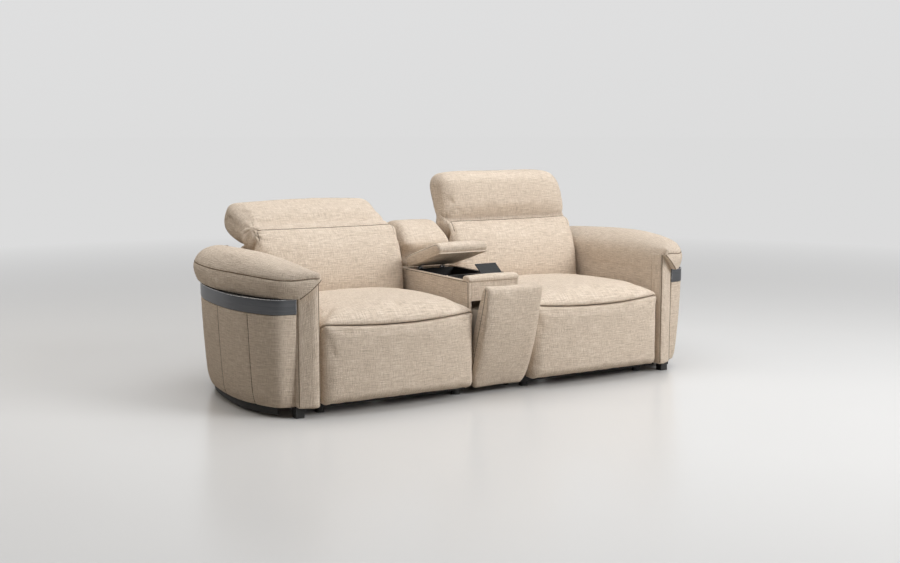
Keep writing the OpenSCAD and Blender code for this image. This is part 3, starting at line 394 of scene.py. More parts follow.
def smooth(mesh, sharp_angle=None):
    mesh.polygons.foreach_set("use_smooth", [True] * len(mesh.polygons))
    if sharp_angle:
        mesh.set_sharp_from_angle(angle=math.radians(sharp_angle))


def obj(name, V, F, UV=None, mat=LINEN, body="root", replaces=(), slot="fabric", pad=None, angle=None):
    """Piece of the sofa. UV is one list of corner values, in metres; pad is not used."""
    mesh = bpy.data.meshes.new(name)
    mesh.from_pydata(to_metres(V).tolist(), [], [list(f) for f in F])
    if UV is not None:
        layer = mesh.uv_layers.new(name="UVMap")
        layer.data.foreach_set("uv", np.asarray(UV, float).ravel())
    o = bpy.data.objects.new(name, mesh)
    bpy.context.scene.collection.objects.link(o)
    bm = bmesh.new()
    bm.from_mesh(mesh)
    bmesh.ops.recalc_face_normals(bm, faces=bm.faces)
    bm.to_mesh(mesh)
    bm.free()
    smooth(mesh, angle)
    mesh.materials.append(mat)
    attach(o, body)
    if replaces:
        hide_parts(*replaces)
    return o


def bm_lists(bm):
    """Places and faces of a bmesh, which is freed."""
    bm.verts.index_update()
    V = [tuple(v.co) for v in bm.verts]
    F = [[v.index for v in f.verts] for f in bm.faces]
    bm.free()
    return V, F


def pushed(bm, faces, shift):
    """Gives faces of a bmesh a depth."""
    new = bmesh.ops.extrude_face_region(bm, geom=faces)["geom"]
    bmesh.ops.translate(bm, vec=shift, verts=[g for g in new if isinstance(g, bmesh.types.BMVert)])


def bevel_mesh(o, width, segs):
    """Rounds the sharp edges of a piece; the width is in metres."""
    bm = bmesh.new()
    bm.from_mesh(o.data)
    sharp = [e for e in bm.edges if len(e.link_faces) == 2 and e.calc_face_angle(0) > math.radians(30)]
    bmesh.ops.bevel(bm, geom=sharp, offset=width, segments=segs, affect="EDGES", profile=0.5, material=-1,
                    clamp_overlap=True)
    bmesh.ops.recalc_face_normals(bm, faces=bm.faces)
    bm.to_mesh(o.data)
    bm.free()
    smooth(o.data, 40)


def rounded_box(name, lo, hi, bevel, segs, mat=LINEN_BY_PLACE, **kw):
    lo, hi = Vector(lo), Vector(hi)
    bm = bmesh.new()
    bmesh.ops.create_cube(bm, size=1)
    bmesh.ops.scale(bm, vec=hi - lo, verts=bm.verts)
    bmesh.ops.translate(bm, vec=(lo + hi) / 2, verts=bm.verts)
    o = obj(name, *bm_lists(bm), mat=mat, **kw)
    bevel_mesh(o, bevel / 1000, segs)
    return o


def prism(name, outline, x0, x1, bevel, segs, **kw):
    """Outline in y and z pushed along x, with rounded edges."""
    bm = bmesh.new()
    face = bm.faces.new([bm.verts.new((x0, y, z)) for y, z in outline])
    pushed(bm, [face], (x1 - x0, 0, 0))
    o = obj(name, *bm_lists(bm), **kw)
    bevel_mesh(o, bevel / 1000, segs)
    return o


def end_fill(ring, step):
    """Triangles over a closed flat outline, with added points inside it."""
    n = len(ring)
    lo, hi = ring.min(0), ring.max(0)
    gx, gy = np.meshgrid(np.arange(lo[0] + step / 2, hi[0], step),
                         np.arange(lo[1] + step / 2, hi[1], step * 0.87))
    gx[1::2] += step / 2
    added = np.stack([gx.ravel(), gy.ravel()], 1)
    added = added[inside(added, ring)]
    added = added[edge_distance(added, ring) > step * 0.55]
    points = [Vector(p) for p in np.concatenate([ring, added])]
    found = delaunay_2d_cdt(points, [(i, (i + 1) % n) for i in range(n)], [], 1, 1e-6)
    index = [source[0] if source else None for source in found[3]]
    tris = [tuple(index[k] for k in t) for t in found[2]]
    return added, [t for t in tris if None not in t]


def end_frame(ring, inner):
    """Middle of an end ring, the direction out of the piece and two directions across."""
    middle = ring.mean(0)
    out = np.linalg.svd(ring - middle, full_matrices=False)[2][2]
    if out @ (ring - inner).mean(0) < 0:
        out = -out
    if abs(out[0]) > 0.9:
        return middle, out, np.array([0, 1.0, 0]), np.array([0, 0, 1.0])
    across = np.cross(out, [0, 1.0, 0]) if abs(out[2]) > 0.5 else np.cross([0, 0, 1.0], out)
    across /= np.linalg.norm(across)
    return middle, out, across, np.cross(out, across)


def grid_loft(name, rings, v_at, u_at, end_step, bulge, **kw):
    """Closed tube of quads through the rings, with filled ends that bulge.

    u_at and v_at are places on the cloth, along the tube and round it.
    """
    m, n = len(rings), len(rings[0])
    V = [p for r in rings for p in r]
    F, UV = [], []
    for i in range(m - 1):
        for j in range(n):
            k = (j + 1) % n
            F.append((i * n + j, i * n + k, (i + 1) * n + k, (i + 1) * n + j))
            for a, b in ((i, j), (i, j + 1), (i + 1, j + 1), (i + 1, j)):
                UV.append((u_at[a] / 1000, v_at[b] / 1000))
    for end, inner in ((0, 1), (m - 1, m - 2)):
        ring = np.array(rings[end])
        middle, out, e1, e2 = end_frame(ring, np.array(rings[inner]))
        flat = np.stack([(ring - middle) @ e1, (ring - middle) @ e2], 1)
        added, tris = end_fill(flat, end_step)
        base = len(V)
        height = (ring - middle) @ out
        for p, distance in zip(added, edge_distance(added, flat)):
            near = np.argmin(np.linalg.norm(flat - p, axis=1))
            rise = height[near] + bulge * (1 - math.exp(-distance / 22))
            V.append(middle + e1 * p[0] + e2 * p[1] + out * rise)
        every = np.concatenate([flat, added])
        for t in tris:
            F.append(tuple(end * n + k if k < n else base + k - n for k in t))
            UV += [((every[k][0] + middle @ e1) / 1000, (every[k][1] + middle @ e2) / 1000) for k in t]
    return obj(name, V, F, UV, **kw)


ON_PAD = {}            # for each pad, its point at a place across and round, and the share round of a place


def soft_pad(name, rows, half, edge, crown_y=0, crown_z=0, pull=0, drop=0, x0=0, step=STEP, bulge=2.5,
             turn=None, arcs=7, shape=None, **kw):
    """The same pad as the solid, with a smooth outline, a fine grid and rounded sides."""
    R = np.array(rows, float)
    lo, hi = R[:, :2].min(0), R[:, :2].max(0)
    mid, size = (lo + hi) / 2, hi - lo
    P, _ = spline(rows, step)
    flat = half - edge
    swing = np.linspace(0, math.radians(86), arcs)
    k = max(4, int(round(2 * flat / step)))
    rounding = [((flat + edge * math.sin(a)) / half, 1 - math.cos(a), flat + edge * a) for a in swing]
    stations = [(-t, inset, -u) for t, inset, u in rounding[::-1]]
    stations += [(x / half, 0, x) for x in np.linspace(-flat, flat, k + 1)[1:-1]]
    stations += rounding

    def section(t, inset):
        """Ring at a share t of the half width, drawn in by a share of the edge's radius."""
        sy, sz = (size - 2 * edge * inset) / size
        c = 1 - t * t
        along = (P[:, 0] - mid[0]) / (size[0] / 2)
        upper = np.maximum(0, (P[:, 1] - mid[1]) / (size[1] / 2))
        y = mid[0] + (P[:, 0] - mid[0]) * sy + crown_y * P[:, 2] * c
        z = mid[1] + (P[:, 1] - mid[1]) * sz + crown_z * P[:, 3] * c - drop * upper ** 2 * abs(t) ** 6
        x = t * (half - pull * (1 - np.minimum(1, along ** 2)))
        ring = np.stack([x, y, z], 1)
        if shape:
            ring = shape(ring)
        if turn:
            ring[:, 1], ring[:, 2] = turned(ring[:, 1], ring[:, 2], *turn)
        ring[:, 0] += x0
        return ring

    def point(x, v):
        """Point on the pad: x from its middle, v the share of the way round the outline's length."""
        over = max(0.0, abs(x) - flat) / edge
        ring = section(x / half, 1 - math.cos(math.asin(min(1.0, over))))
        k = (v % 1.0) * len(P)
        a, f = int(k) % len(P), k - int(k)
        return ring[a] * (1 - f) + ring[(a + 1) % len(P)] * f

    def share_at(y, z):
        """Share round the outline of the place nearest to y and z, before any turn."""
        return int(np.argmin(np.hypot(P[:, 0] - y, P[:, 1] - z))) / len(P)

    ON_PAD[name] = (point, share_at)
    rings = [section(t, inset) for t, inset, u in stations]
    return grid_loft(name, rings, around(P[:, :2]), [u for t, inset, u in stations], step * 1.15, bulge, **kw)


def apply_modifiers(o):
    dg = bpy.context.evaluated_depsgraph_get()
    mesh = bpy.data.meshes.new_from_object(o.evaluated_get(dg), depsgraph=dg)
    old = o.data
    o.modifiers.clear()
    o.data = mesh
    mesh.name = o.name
    bpy.data.meshes.remove(old)


def finer(o):
    m = o.modifiers.new("finer", "SUBSURF")
    m.levels = m.render_levels = 1
    apply_modifiers(o)
    smooth(o.data)


PRESSURE = 4.0
TENSION = 12.0
SIM_FRAMES = 20


def cloth(o, cap, inset, shrink, pins=None, keep=None):
    """Swells the pad as filled fabric, from a little inside; no point moves further than cap. In metres."""
    base = coords(o)
    put(o, base - normals(o) * inset)
    m = o.modifiers.new("cloth", "CLOTH")
    s = m.settings
    s.quality = 5
    s.mass = 0.25
    s.tension_stiffness = s.compression_stiffness = TENSION
    s.shear_stiffness = TENSION * 0.6
    s.bending_stiffness = 0.8
    s.use_pressure = True
    s.uniform_pressure_force = PRESSURE
    s.shrink_min = shrink
    s.effector_weights.gravity = 0.0
    m.collision_settings.use_collision = False
    m.collision_settings.use_self_collision = False
    if pins is not None:
        group = o.vertex_groups.new(name="pin")
        for i, w in enumerate(pins(base)):
            if w > 0.01:
                group.add([i], float(w), "REPLACE")
        s.vertex_group_mass = "pin"
        s.pin_stiffness = 1.0
    scene = bpy.context.scene
    m.point_cache.frame_start, m.point_cache.frame_end = 1, SIM_FRAMES
    for f in range(1, SIM_FRAMES + 1):
        scene.frame_set(f)
    swollen = o.evaluated_get(bpy.context.evaluated_depsgraph_get())
    got = np.empty(len(base) * 3)
    swollen.data.vertices.foreach_get("co", got)
    o.modifiers.clear()
    o.vertex_groups.clear()
    scene.frame_set(1)
    move = got.reshape(-1, 3) - base
    far = np.linalg.norm(move, axis=1)
    move *= (cap * np.tanh(far / cap) / np.maximum(far, 1e-9))[:, None]
    if keep is not None:
        move *= keep(base)[:, None]
    put(o, base + move)


def uneven(o, amount, size, seed, small=0.0, small_size=0.03):
    """Low uneven swell, so no two pads are the same. In metres."""
    places, out = coords(o), normals(o)
    d = np.array([noise.noise(Vector(p) / size + Vector((seed, seed * 0.7, 3))) for p in places]) * amount
    if small:
        d += np.array([noise.noise(Vector(p) / small_size + Vector((seed, 9, seed))) for p in places]) * small
    put(o, places + out * d[:, None])


def soften(o, cap, seed, pins=None, keep=None, amount=0.0016, size=0.17, small=0.0005):
    """Swell, finer mesh and uneven surface of a pad, in metres."""
    cloth(o, cap, cap * 0.45, -0.012, pins, keep)
    finer(o)
    uneven(o, amount, size, seed, small, 0.035)


def hold_below(z, soft):
    """Pins what lies below a height, in metres."""
    return lambda places: np.clip((z - places[:, 2]) / soft, 0, 1)


def hold_behind(y, soft):
    """Pins what lies behind a place, in metres from the sofa's front line."""
    return lambda places: np.clip((places[:, 1] + FRONT / 1000 - y) / soft, 0, 1)


def tube(name, points, radius, mat, slot, body="root"):
    """Round trim along points given in metres, with a radius in metres."""
    points = np.asarray(points, float)
    sides, m = 8, len(points)
    V, F = [], []
    for i in range(m):
        a, b = points[max(0, i - 1)], points[min(m - 1, i + 1)]
        along = (b - a) / (np.linalg.norm(b - a) + 1e-12)
        e1 = np.cross(along, [0, 0, 1.0])
        if np.linalg.norm(e1) < 0.2:
            e1 = np.cross(along, [0, 1.0, 0])
        e1 /= np.linalg.norm(e1)
        e2 = np.cross(along, e1)
        for angle in np.arange(sides) * 2 * math.pi / sides:
            V.append(points[i] + radius * (e1 * math.cos(angle) + e2 * math.sin(angle)))
    for i in range(m - 1):
        for k in range(sides):
            l = (k + 1) % sides
            F.append((i * sides + k, i * sides + l, (i + 1) * sides + l, (i + 1) * sides + k))
    F.append(tuple(range(sides)))
    F.append(tuple(range((m - 1) * sides, m * sides)))
    V = np.array(V) * 1000
    V[:, 1] += FRONT
    return obj(name, V, F, None, mat=mat, body=body, slot=slot)


def seam(o, path, radius, sink, depth, width=0.006, mat=SEAM_SHADE, name=None):
    """Sewn line on a pad: a groove with a fine welt lying in it, dark by default as painted seam shade; all
    its sizes in metres.
    """
    p = to_metres(path)
    if depth:
        places, out = coords(o), normals(o)
        put(o, places - out * (depth * np.exp(-(path_distance(places, p) / width) ** 2))[:, None])
    tree = BVHTree.FromObject(o, bpy.context.evaluated_depsgraph_get())
    along = lengths(p)
    at = np.linspace(0, along[-1], max(3, int(along[-1] / 0.006)))
    welt = []
    for q in np.stack([np.interp(at, along, p[:, k]) for k in range(3)], 1):
        place, out, _, _ = tree.find_nearest(Vector(q))
        welt.append(np.array(place) - np.array(out) * sink)
    welt = np.array(welt)
    for _ in range(2):
        welt[1:-1] = (welt[:-2] + 2 * welt[1:-1] + welt[2:]) / 4
    return tube(name or o.name + "_seam", welt, radius, mat, "fabric", o["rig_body"])


def path_round(name, start, end, x, n=60):
    """Path at one place across a pad, round its outline from one y and z to another."""
    point, share_at = ON_PAD[name]
    a, b = share_at(*start), share_at(*end)
    if b < a:
        b += 1
    return [point(x, v) for v in np.linspace(a, b, n)]


def gather(o, centre, radius, depth, folds, normal, twist=0.0):
    """Draws the cover in at a point, with folds that fan out from it."""
    places, out = coords(o), normals(o)
    d = places - to_metres([centre])[0]
    reach = np.clip(np.linalg.norm(d, axis=1) / (radius / 1000), 0, 1)
    axis = Vector(normal).normalized()
    e1 = axis.orthogonal().normalized()
    e2 = axis.cross(e1)
    turn = np.arctan2(d @ np.array(e2), d @ np.array(e1))
    fan = np.sin(folds * turn + twist) * np.clip(reach * 4, 0, 1) * (1 - reach) ** 1.5
    put(o, places + out * (depth / 1000 * (0.6 * fan - 0.5 * (1 - reach) ** 2))[:, None])


# Outlines of the pads. A row holds shares of the depth and height, then how far it follows the crown
# in y and in z.
SEAT_MIDDLE = 495.0    # from the sofa's middle to a seat's
OFF_CONSOLE = 3        # seats and footrests lie this far outwards, to leave the drop front room
SEAM_Z = 0.372         # height of the seam between seat and footrest, in metres
SEAT_OUTLINE = shares(
    [[0.162, 0, 0, 0], [1, 0, 0, 0], [1, 0.50, 0, 0.2], [0.997, 0.86, 0, 0.4], [0.96, 0.92, 0, 0.8],
     [0.80, 0.96, 0, 1], [0.57, 1, 0, 1], [0.37, 1, 0, 1.1], [0.20, 0.975, 0, 1.2], [0.10, 0.935, 0, 1.1],
     [0.04, 0.892, 0.6, 0.9], [0.012, 0.855, 0.95, 0.2], [0.003, 0.832, 1, -0.3], [0.004, 0.812, 1, -0.5],
     [0.012, 0.803, 1, -0.55], [0.05, 0.800, 0.4, -0.55], [0.11, 0.802, 0, -0.5], [0.162, 0.805, 0, -0.3]],
    0, 253.3, 596, 148.7)
FOOTREST_OUTLINE = shares(
    [[0.25, 0, 0, 0], [0.80, 0, 0, 0], [0.97, 0.012, 0, 0], [1, 0.05, 0, 0], [1, 0.50, 0, 0], [1, 0.95, 0, 0],
     [0.97, 1.03, 0, -0.5], [0.60, 1.045, 0, -0.55], [0.16, 1.046, 0.6, -0.55], [0.05, 1.046, 1, -0.55],
     [0.010, 1.038, 1, -0.55], [0, 1.005, 1, -0.5], [0, 0.70, 1, -0.15], [0, 0.45, 1, 0],
     [0.01, 0.20, 0.95, 0], [0.05, 0.06, 0.8, 0]],
    0, 43, 85, 313)

HEAD_Y, HEAD_Z = 774.0, 645.0          # pivot of the headrests
HEAD_DEPTH, HEAD_HEIGHT = 129, 283
SOCKET_R, ROLL_R = 64.5, 63            # round hollow in the back, and the headrest's roll in it
BACK_Y, BACK_Z, BACK_DEPTH, BACK_HEIGHT = 604, 318, 164, 338
SHELL_Y, SHELL_DEPTH, SHELL_HEIGHT = 799, 126, 327
back_socket_end = 360 - math.degrees(math.acos((BACK_Y + BACK_DEPTH - HEAD_Y) / SOCKET_R))
BACK_OUTLINE = (
    shares([[0, 0.228, 0.2, 0], [0.05, 0.435, 0.8, 0], [0.14, 0.627, 1, 0], [0.238, 0.76, 1, 0],
            [0.354, 0.876, 0.9, 0]], BACK_Y, BACK_Z, BACK_DEPTH, BACK_HEIGHT)
    + [(682, 643, 0.6, 0), (695, 667, 0.4, 0), (705, 682, 0.2, 0), (714, 690.5, 0, 0), (722, 691.5, 0, 0)]
    + arc(HEAD_Y, HEAD_Z, SOCKET_R, 137.5, back_socket_end, 10)
    + shares([[1, 0, 0, 0], [0.024, 0, 0, 0], [0, 0.1, 0, 0]], BACK_Y, BACK_Z, BACK_DEPTH, BACK_HEIGHT))[::-1]
shell_socket_start = 360 - math.degrees(math.acos((SHELL_Y - HEAD_Y) / SOCKET_R))
SHELL_OUTLINE = (
    [(SHELL_Y, BACK_Z, 0, 0)] + arc(HEAD_Y, HEAD_Z, SOCKET_R, shell_socket_start, 330, 4)
    + shares([[0.40, 0.893, 0, 0], [0.50, 0.817, 0, 0], [0.95, 0.122, 0, 0], [1, 0.037, 0, 0],
              [0.96, 0, 0, 0]], SHELL_Y, BACK_Z, SHELL_DEPTH, SHELL_HEIGHT))[::-1]
HEADREST_OUTLINE = (
    shares([[1, 0.76, 0, 0], [0.95, 0.90, 0, 0], [0.75, 0.975, 0, 0], [0.46, 1, 0, 0], [0.20, 0.99, 0, 0],
            [-0.02, 0.96, 0.4, 0], [-0.15, 0.88, 0.8, 0], [-0.23, 0.74, 1, 0], [-0.31, 0.53, 1, 0],
            [-0.38, 0.34, 0.7, 0], [-0.37, 0.225, 0.1, 0]], HEAD_Y, HEAD_Z, HEAD_DEPTH, HEAD_HEIGHT)
    + arc(HEAD_Y, HEAD_Z, ROLL_R, 130, 394, 20)
    + shares([[0.62, 0.26, 0, 0], [0.84, 0.45, 0, 0]], HEAD_Y, HEAD_Z, HEAD_DEPTH, HEAD_HEIGHT))

LID_HINGE, LID_OPEN = (632, 486), 16.3         # hinge in y and z, and how far it stands open, in degrees
DROP_HINGE, DROP_OPEN = (104, 205), 16.8
LID_OUTLINE = shares(
    [[0.04, 0, 0, 0], [0.96, 0, 0, 0], [0.99, 0.22, 0, 0], [1, 0.55, 0, 0], [0.96, 0.82, 0, 0.1],
     [0.88, 0.95, 0, 0.4], [0.70, 1, 0, 0.9], [0.40, 1, 0, 1], [0.12, 0.98, 0, 0.8], [0.04, 0.88, 0, 0.4],
     [0, 0.58, 0, 0], [0.01, 0.22, 0, 0]],
    312, 500.3, 320, 45)
DROP_OUTLINE = shares(
    [[0.14, 0, 0, 0], [0.88, 0, 0, 0], [1, 0.03, 0, 0], [1, 0.30, 0, 0], [1, 0.60, 0, 0], [0.80, 0.88, 0, 0],
     [0.62, 0.985, 0, 0], [0.48, 1, 0, 0], [0.10, 1, 0, 0], [-0.04, 0.985, 0, 0], [-0.16, 0.90, -0.5, 0],
     [-0.32, 0.72, -1, 0], [-0.38, 0.54, -1, 0], [-0.32, 0.34, -1, 0], [-0.17, 0.15, -0.6, 0],
     [-0.01, 0.02, 0, 0]],
    0, 50, 62, 469)
ROLL_OUTLINE = shares(
    [[0.10, 0, 0, 0], [0.92, 0, 0, 0], [1, 0.30, 0, 0], [0.98, 0.75, 0, 0], [0.80, 0.96, 0, 1],
     [0.50, 1, 0, 1], [0.22, 0.92, 0, 1], [0.05, 0.70, 0, 1], [0, 0.38, 0, 0], [0.02, 0.12, 0, 0]],
    80, 481, 59, 27)
CONSOLE_BACK_OUTLINE = shares(
    [[0.20, 0, 0, 0], [1, 0, 0, 0], [1, 0.45, 0, 0], [0.96, 0.72, 0, 0], [0.86, 0.88, 0, 0.5],
     [0.70, 0.96, 0, 1], [0.48, 0.97, 0, 1], [0.30, 0.87, 0, 1], [0.14, 0.72, -0.6, 0.6],
     [0.05, 0.60, -0.8, 0.3], [0.01, 0.52, -1, 0], [0.05, 0.42, -0.6, 0], [0.13, 0.27, 0, 0],
     [0.17, 0.15, 0, 0]],
    638, 489.3, 303.7, 209.7)


# Seats, footrests, backs and headrests
def seat_cover(side, sx, seed):
    """The cloth is held at the seam over the footrest and swells above it."""
    seat = soft_pad("seat_cushion_cover_" + side, SEAT_OUTLINE, 352, 34, crown_y=-30, crown_z=30, pull=7,
                    x0=(SEAT_MIDDLE + OFF_CONSOLE) * sx, body="seat_" + side,
                    replaces=["seat_cushion_" + side], pad=0.75)
    soften(seat, 0.008, seed, hold_below(SEAM_Z, 0.02), lambda p: np.clip((p[:, 2] - SEAM_Z) / 0.03, 0.08, 1))


def footrest_cover(side, sx, seed):
    foot = soft_pad("footrest_cover_" + side, FOOTREST_OUTLINE, 351, 26, crown_y=-30, crown_z=30,
                    x0=(SEAT_MIDDLE + OFF_CONSOLE) * sx, body="footrest_" + side,
                    replaces=["footrest_panel_" + side], pad=0.8)
    soften(foot, 0.006, seed + 1, hold_behind(0.055, 0.02),
           lambda p: np.clip((SEAM_Z - p[:, 2]) / 0.05, 0.08, 1), amount=0.0012)


def footrest_ears(side, sx):
    """Two steel ears behind the footrest, round at the links' pins."""
    pin_y, pin_z, ear_r = 120.05, 230.3, 13
    nose = [(pin_y + ear_r * math.cos(a), pin_z + ear_r * math.sin(a))
            for a in np.linspace(-math.pi / 2, math.pi / 2, 9)]
    outline = [(84, 185.3)] + nose + [(84, 244.3)]
    for e, letter in ((-1, "a"), (1, "b")):
        x = SEAT_MIDDLE * sx + e * 294
        prism(f"footrest_ear_{side}_{letter}", outline, x, x + e * 5, bevel=1.0, segs=2, mat=STEEL,
              body="footrest_" + side, slot="rail_steel", replaces=["footrest_panel_" + side])


def back_cover(side, sx, seed):
    """Back cushion with a seam near each side, a welt along its lip and, on the left one, gathers."""
    half_seams = 338
    back = soft_pad("back_cushion_cover_" + side, BACK_OUTLINE, 357, 34, crown_y=-25, pull=4,
                    x0=SEAT_MIDDLE * sx, arcs=8, body="back_" + side,
                    replaces=["back_cushion_" + side], pad=0.75)
    soften(back, 0.008, seed + 2, hold_behind(0.715, 0.02))
    for e in (-1, 1):
        path = path_round(back.name, (606, 335), (690, 642), e * half_seams)
        seam(back, path, 0.0015, 0.0006, 0.0022, 0.005)
    lip_y, lip_z = 719 if sx < 0 else 715, 694
    welt = [(SEAT_MIDDLE * sx + x, lip_y - 3 * (1 - (x / 340) ** 2), lip_z)
            for x in np.linspace(-half_seams, half_seams, 80)]
    seam(back, welt, 0.0017, -0.0002, 0, mat=PIPING_SHADE, name="back_top_welt_" + side)
    if sx < 0:
        gather(back, (-847, 708, 672), 100, 9, folds=9, twist=0.6, normal=(-0.5, -0.8, 0.2))


def back_shell(side, sx, seed):
    shell = soft_pad("back_shell_cover_" + side, SHELL_OUTLINE, 357, 14, x0=SEAT_MIDDLE * sx,
                     body="back_" + side, replaces=["back_shell_" + side], pad=0.9)
    finer(shell)
    uneven(shell, 0.0012, 0.2, seed + 3)


def widened(left, right, forward):
    """Each end of the headrest grows or shrinks by a share of its reach towards the top."""
    def shape(ring):
        w = np.clip((ring[:, 2] - 705) / 223, 0, 1) ** 2.2
        ring[:, 1] -= forward * w
        ring[:, 0] *= 1 + w * np.where(ring[:, 0] < 0, left, right)
        return ring
    return shape


def headrest_cover(side, sx, seed):
    """Headrest with a roll at its foot; the left one is folded back."""
    folded = sx < 0
    x = SEAT_MIDDLE * sx
    head = soft_pad("headrest_cover_" + side, HEADREST_OUTLINE, 357 if folded else 359, 58, crown_y=-14,
                    pull=3, drop=4 if folded else 22, x0=x, bulge=5, arcs=12,
                    shape=widened(0.085, 0.02, 12) if folded else widened(0.065, -0.125, 0),
                    turn=(HEAD_Y, HEAD_Z, -60) if folded else None, body="headrest_" + side,
                    replaces=["headrest_pad_" + side], pad=0.8)

    def in_socket(p):
        """Pins the roll that turns in the back's hollow."""
        reach = np.hypot(p[:, 1] - (HEAD_Y - FRONT) / 1000, p[:, 2] - HEAD_Z / 1000)
        return np.clip((0.080 - reach) / 0.012, 0, 1)

    def clear_of_neighbours(p):
        """Less swell at the ends, which lie beside the arm and the console."""
        return np.clip((0.372 - np.abs(p[:, 0] - x / 1000)) / 0.05, 0.3, 1)

    soften(head, 0.008, seed + 4, in_socket, clear_of_neighbours)
    if folded:
        gather(head, (-850, 742, 700), 115, 12, folds=8, normal=(-0.6, -0.7, 0.2))
    else:
        gather(head, (140, 722, 700), 70, 5, folds=7, normal=(-0.5, -0.8, 0))


# Console
def lid_cover():
    lid = soft_pad("lid_cover", LID_OUTLINE, 133, 12, crown_z=6, pull=3, turn=(*LID_HINGE, -LID_OPEN), step=8,
                   body="lid", replaces=["lid_pad"], pad=0.9)
    soften(lid, 0.003, 71.0, amount=0.0006, size=0.1, small=0.0003)
    for e in (-1, 1):
        seam(lid, path_round(lid.name, (630, 505), (313, 508), e * 130, n=80), 0.0013, 0.0004, 0.0016, 0.004)


def lower_corners_in(ring):
    """The drop front's lower corners come in, clear of the base rails when it tips."""
    ring[:, 0] *= 1 - 0.115 * np.clip((120 - ring[:, 2]) / 60, 0, 1) ** 1.5
    return ring


def drop_front_cover():
    half = 141
    drop = soft_pad("drop_panel_cover", DROP_OUTLINE, half, 14, crown_y=4, shape=lower_corners_in,
                    turn=(*DROP_HINGE, DROP_OPEN), step=8, body="drop_front", replaces=["drop_panel"],
                    pad=0.9)
    soften(drop, 0.004, 83.0, amount=0.0010, size=0.12, small=0.0003)
    for e in (-1, 1):
        path = [(e * half, *turned(16 + 5 * max(0, (z - 440) / 70), z, *DROP_HINGE, DROP_OPEN))
                for z in np.linspace(58, 508, 60)]
        seam(drop, path, 0.0015, 0.0004, 0.0016, 0.004)


def console_covers():
    roll = soft_pad("console_roll_cover", ROLL_OUTLINE, 128, 8, crown_z=3, step=6,
                    replaces=["console_front_roll"], pad=0.9)
    finer(roll)
    back = soft_pad("console_back_cover", CONSOLE_BACK_OUTLINE, 123, 36, crown_y=2, crown_z=3, pull=2,
                    replaces=["console_back_pad"], pad=0.85)
    soften(back, 0.004, 95.0, hold_below(0.50, 0.03), lambda p: np.clip((p[:, 2] - 0.52) / 0.06, 0.1, 1),
           amount=0.0008)


def console_wall(side, sx):
    """Covered side wall, sloped at the front foot, with a dark line of painted seam shade round its upper and
    front edge.
    """
    outline = [(85, 151), (133, 43), (942, 43), (942, 489), (85, 489)]
    prism("console_wall_cover_" + side, outline, sx * 112, sx * 128, bevel=5, segs=4, mat=LINEN_BY_PLACE,
          replaces=["console_walls"], pad=1.0)
    line = [(sx * 128, y, 483) for y in np.linspace(636, 100, 60)]
    line += [(sx * 128, 100 - 9 * math.sin(a), 474 + 9 * math.cos(a)) for a in np.linspace(0.1, 1.5, 8)]
    line += [(sx * 128, 91, z) for z in np.linspace(470, 162, 40)]
    # Dark line along the wall's edge: painted seam shade.
    tube("console_wall_seam_shade_" + side, to_metres(line), 0.0013, SEAM_SHADE, "fabric")


# Arms
# In plan, a row is shares of the arm's width and depth. ROOT and RISE go with PAD_PLAN's rows, as shares
# of the depth and of the pad's height. A row of PAD_SECTION is how far out it lies, how far it follows
# the outer roll, and its height, as shares.
ARM_X, ARM_WIDTH, ARM_DEPTH = 860.0, 263.0, 962.0
POST_X = 948           # outer face of the front post
PAD_Z, PAD_HEIGHT = 478, 151
WALL_Z, WALL_HEIGHT, WALL_TOP = 43, 374.7, 417.7
TUCK = 30              # how far the side comes in towards the floor
POST_TOP = 557
WALL_PLAN = [[0.60, 0.050], [0.755, 0.105], [0.88, 0.190], [0.98, 0.306], [1, 0.425], [0.985, 0.536],
             [0.93, 0.670], [0.80, 0.800], [0.645, 0.900], [0.46, 0.962], [0.24, 0.985], [0, 0.985]]
PAD_PLAN = [[0.08, -0.030], [0.41, 0.006], [0.67, 0.072], [0.85, 0.190], [0.98, 0.350], [1.03, 0.480],
            [1.02, 0.620], [0.955, 0.740], [0.84, 0.850], [0.67, 0.935], [0.42, 0.988], [0.08, 0.998]]
ROOT = [-0.020, 0.060, 0.140, 0.240, 0.350, 0.450, 0.550, 0.650, 0.750, 0.850, 0.930, 1.000]
RISE = [0.68, 0.80, 0.90, 0.97, 1, 1, 0.99, 0.97, 0.95, 0.93, 0.89, 0.85]
PAD_SECTION = [[0, 0, 0], [0, 0, 0.42], [0.04, 0, 0.66], [0.14, 0, 0.86], [0.32, 0, 0.98], [0.52, 0, 1],
               [0.72, 0, 0.962], [0.89, 0, 0.845], [1, 0, 0.60], [1, 0.5, 0.46], [0.992, 0.4, 0.28],
               [0.975, 0, 0.10], [0.950, 0, 0]]


def wall_line(step):
    """Line of the arm's outer side in plan, the direction out of it at each point, and its length."""
    rows = [(948.3, 29.8)] + [(ARM_X + ARM_WIDTH * a, ARM_DEPTH * b) for a, b in WALL_PLAN]
    P, length = spline(rows, step, closed=False)
    T = np.gradient(P, axis=0)
    T /= np.linalg.norm(T, axis=1)[:, None]
    return P, np.stack([T[:, 1], -T[:, 0]], 1), length


def wall_rings(P, out, section, sx):
    """Section of distances out and heights, set along the wall line."""
    section = np.array(section, float)
    rings = []
    for p, n in zip(P, out):
        q = p[None, :] + n[None, :] * section[:, :1]
        rings.append(np.column_stack([sx * q[:, 0], q[:, 1], section[:, 1]]))
    return rings


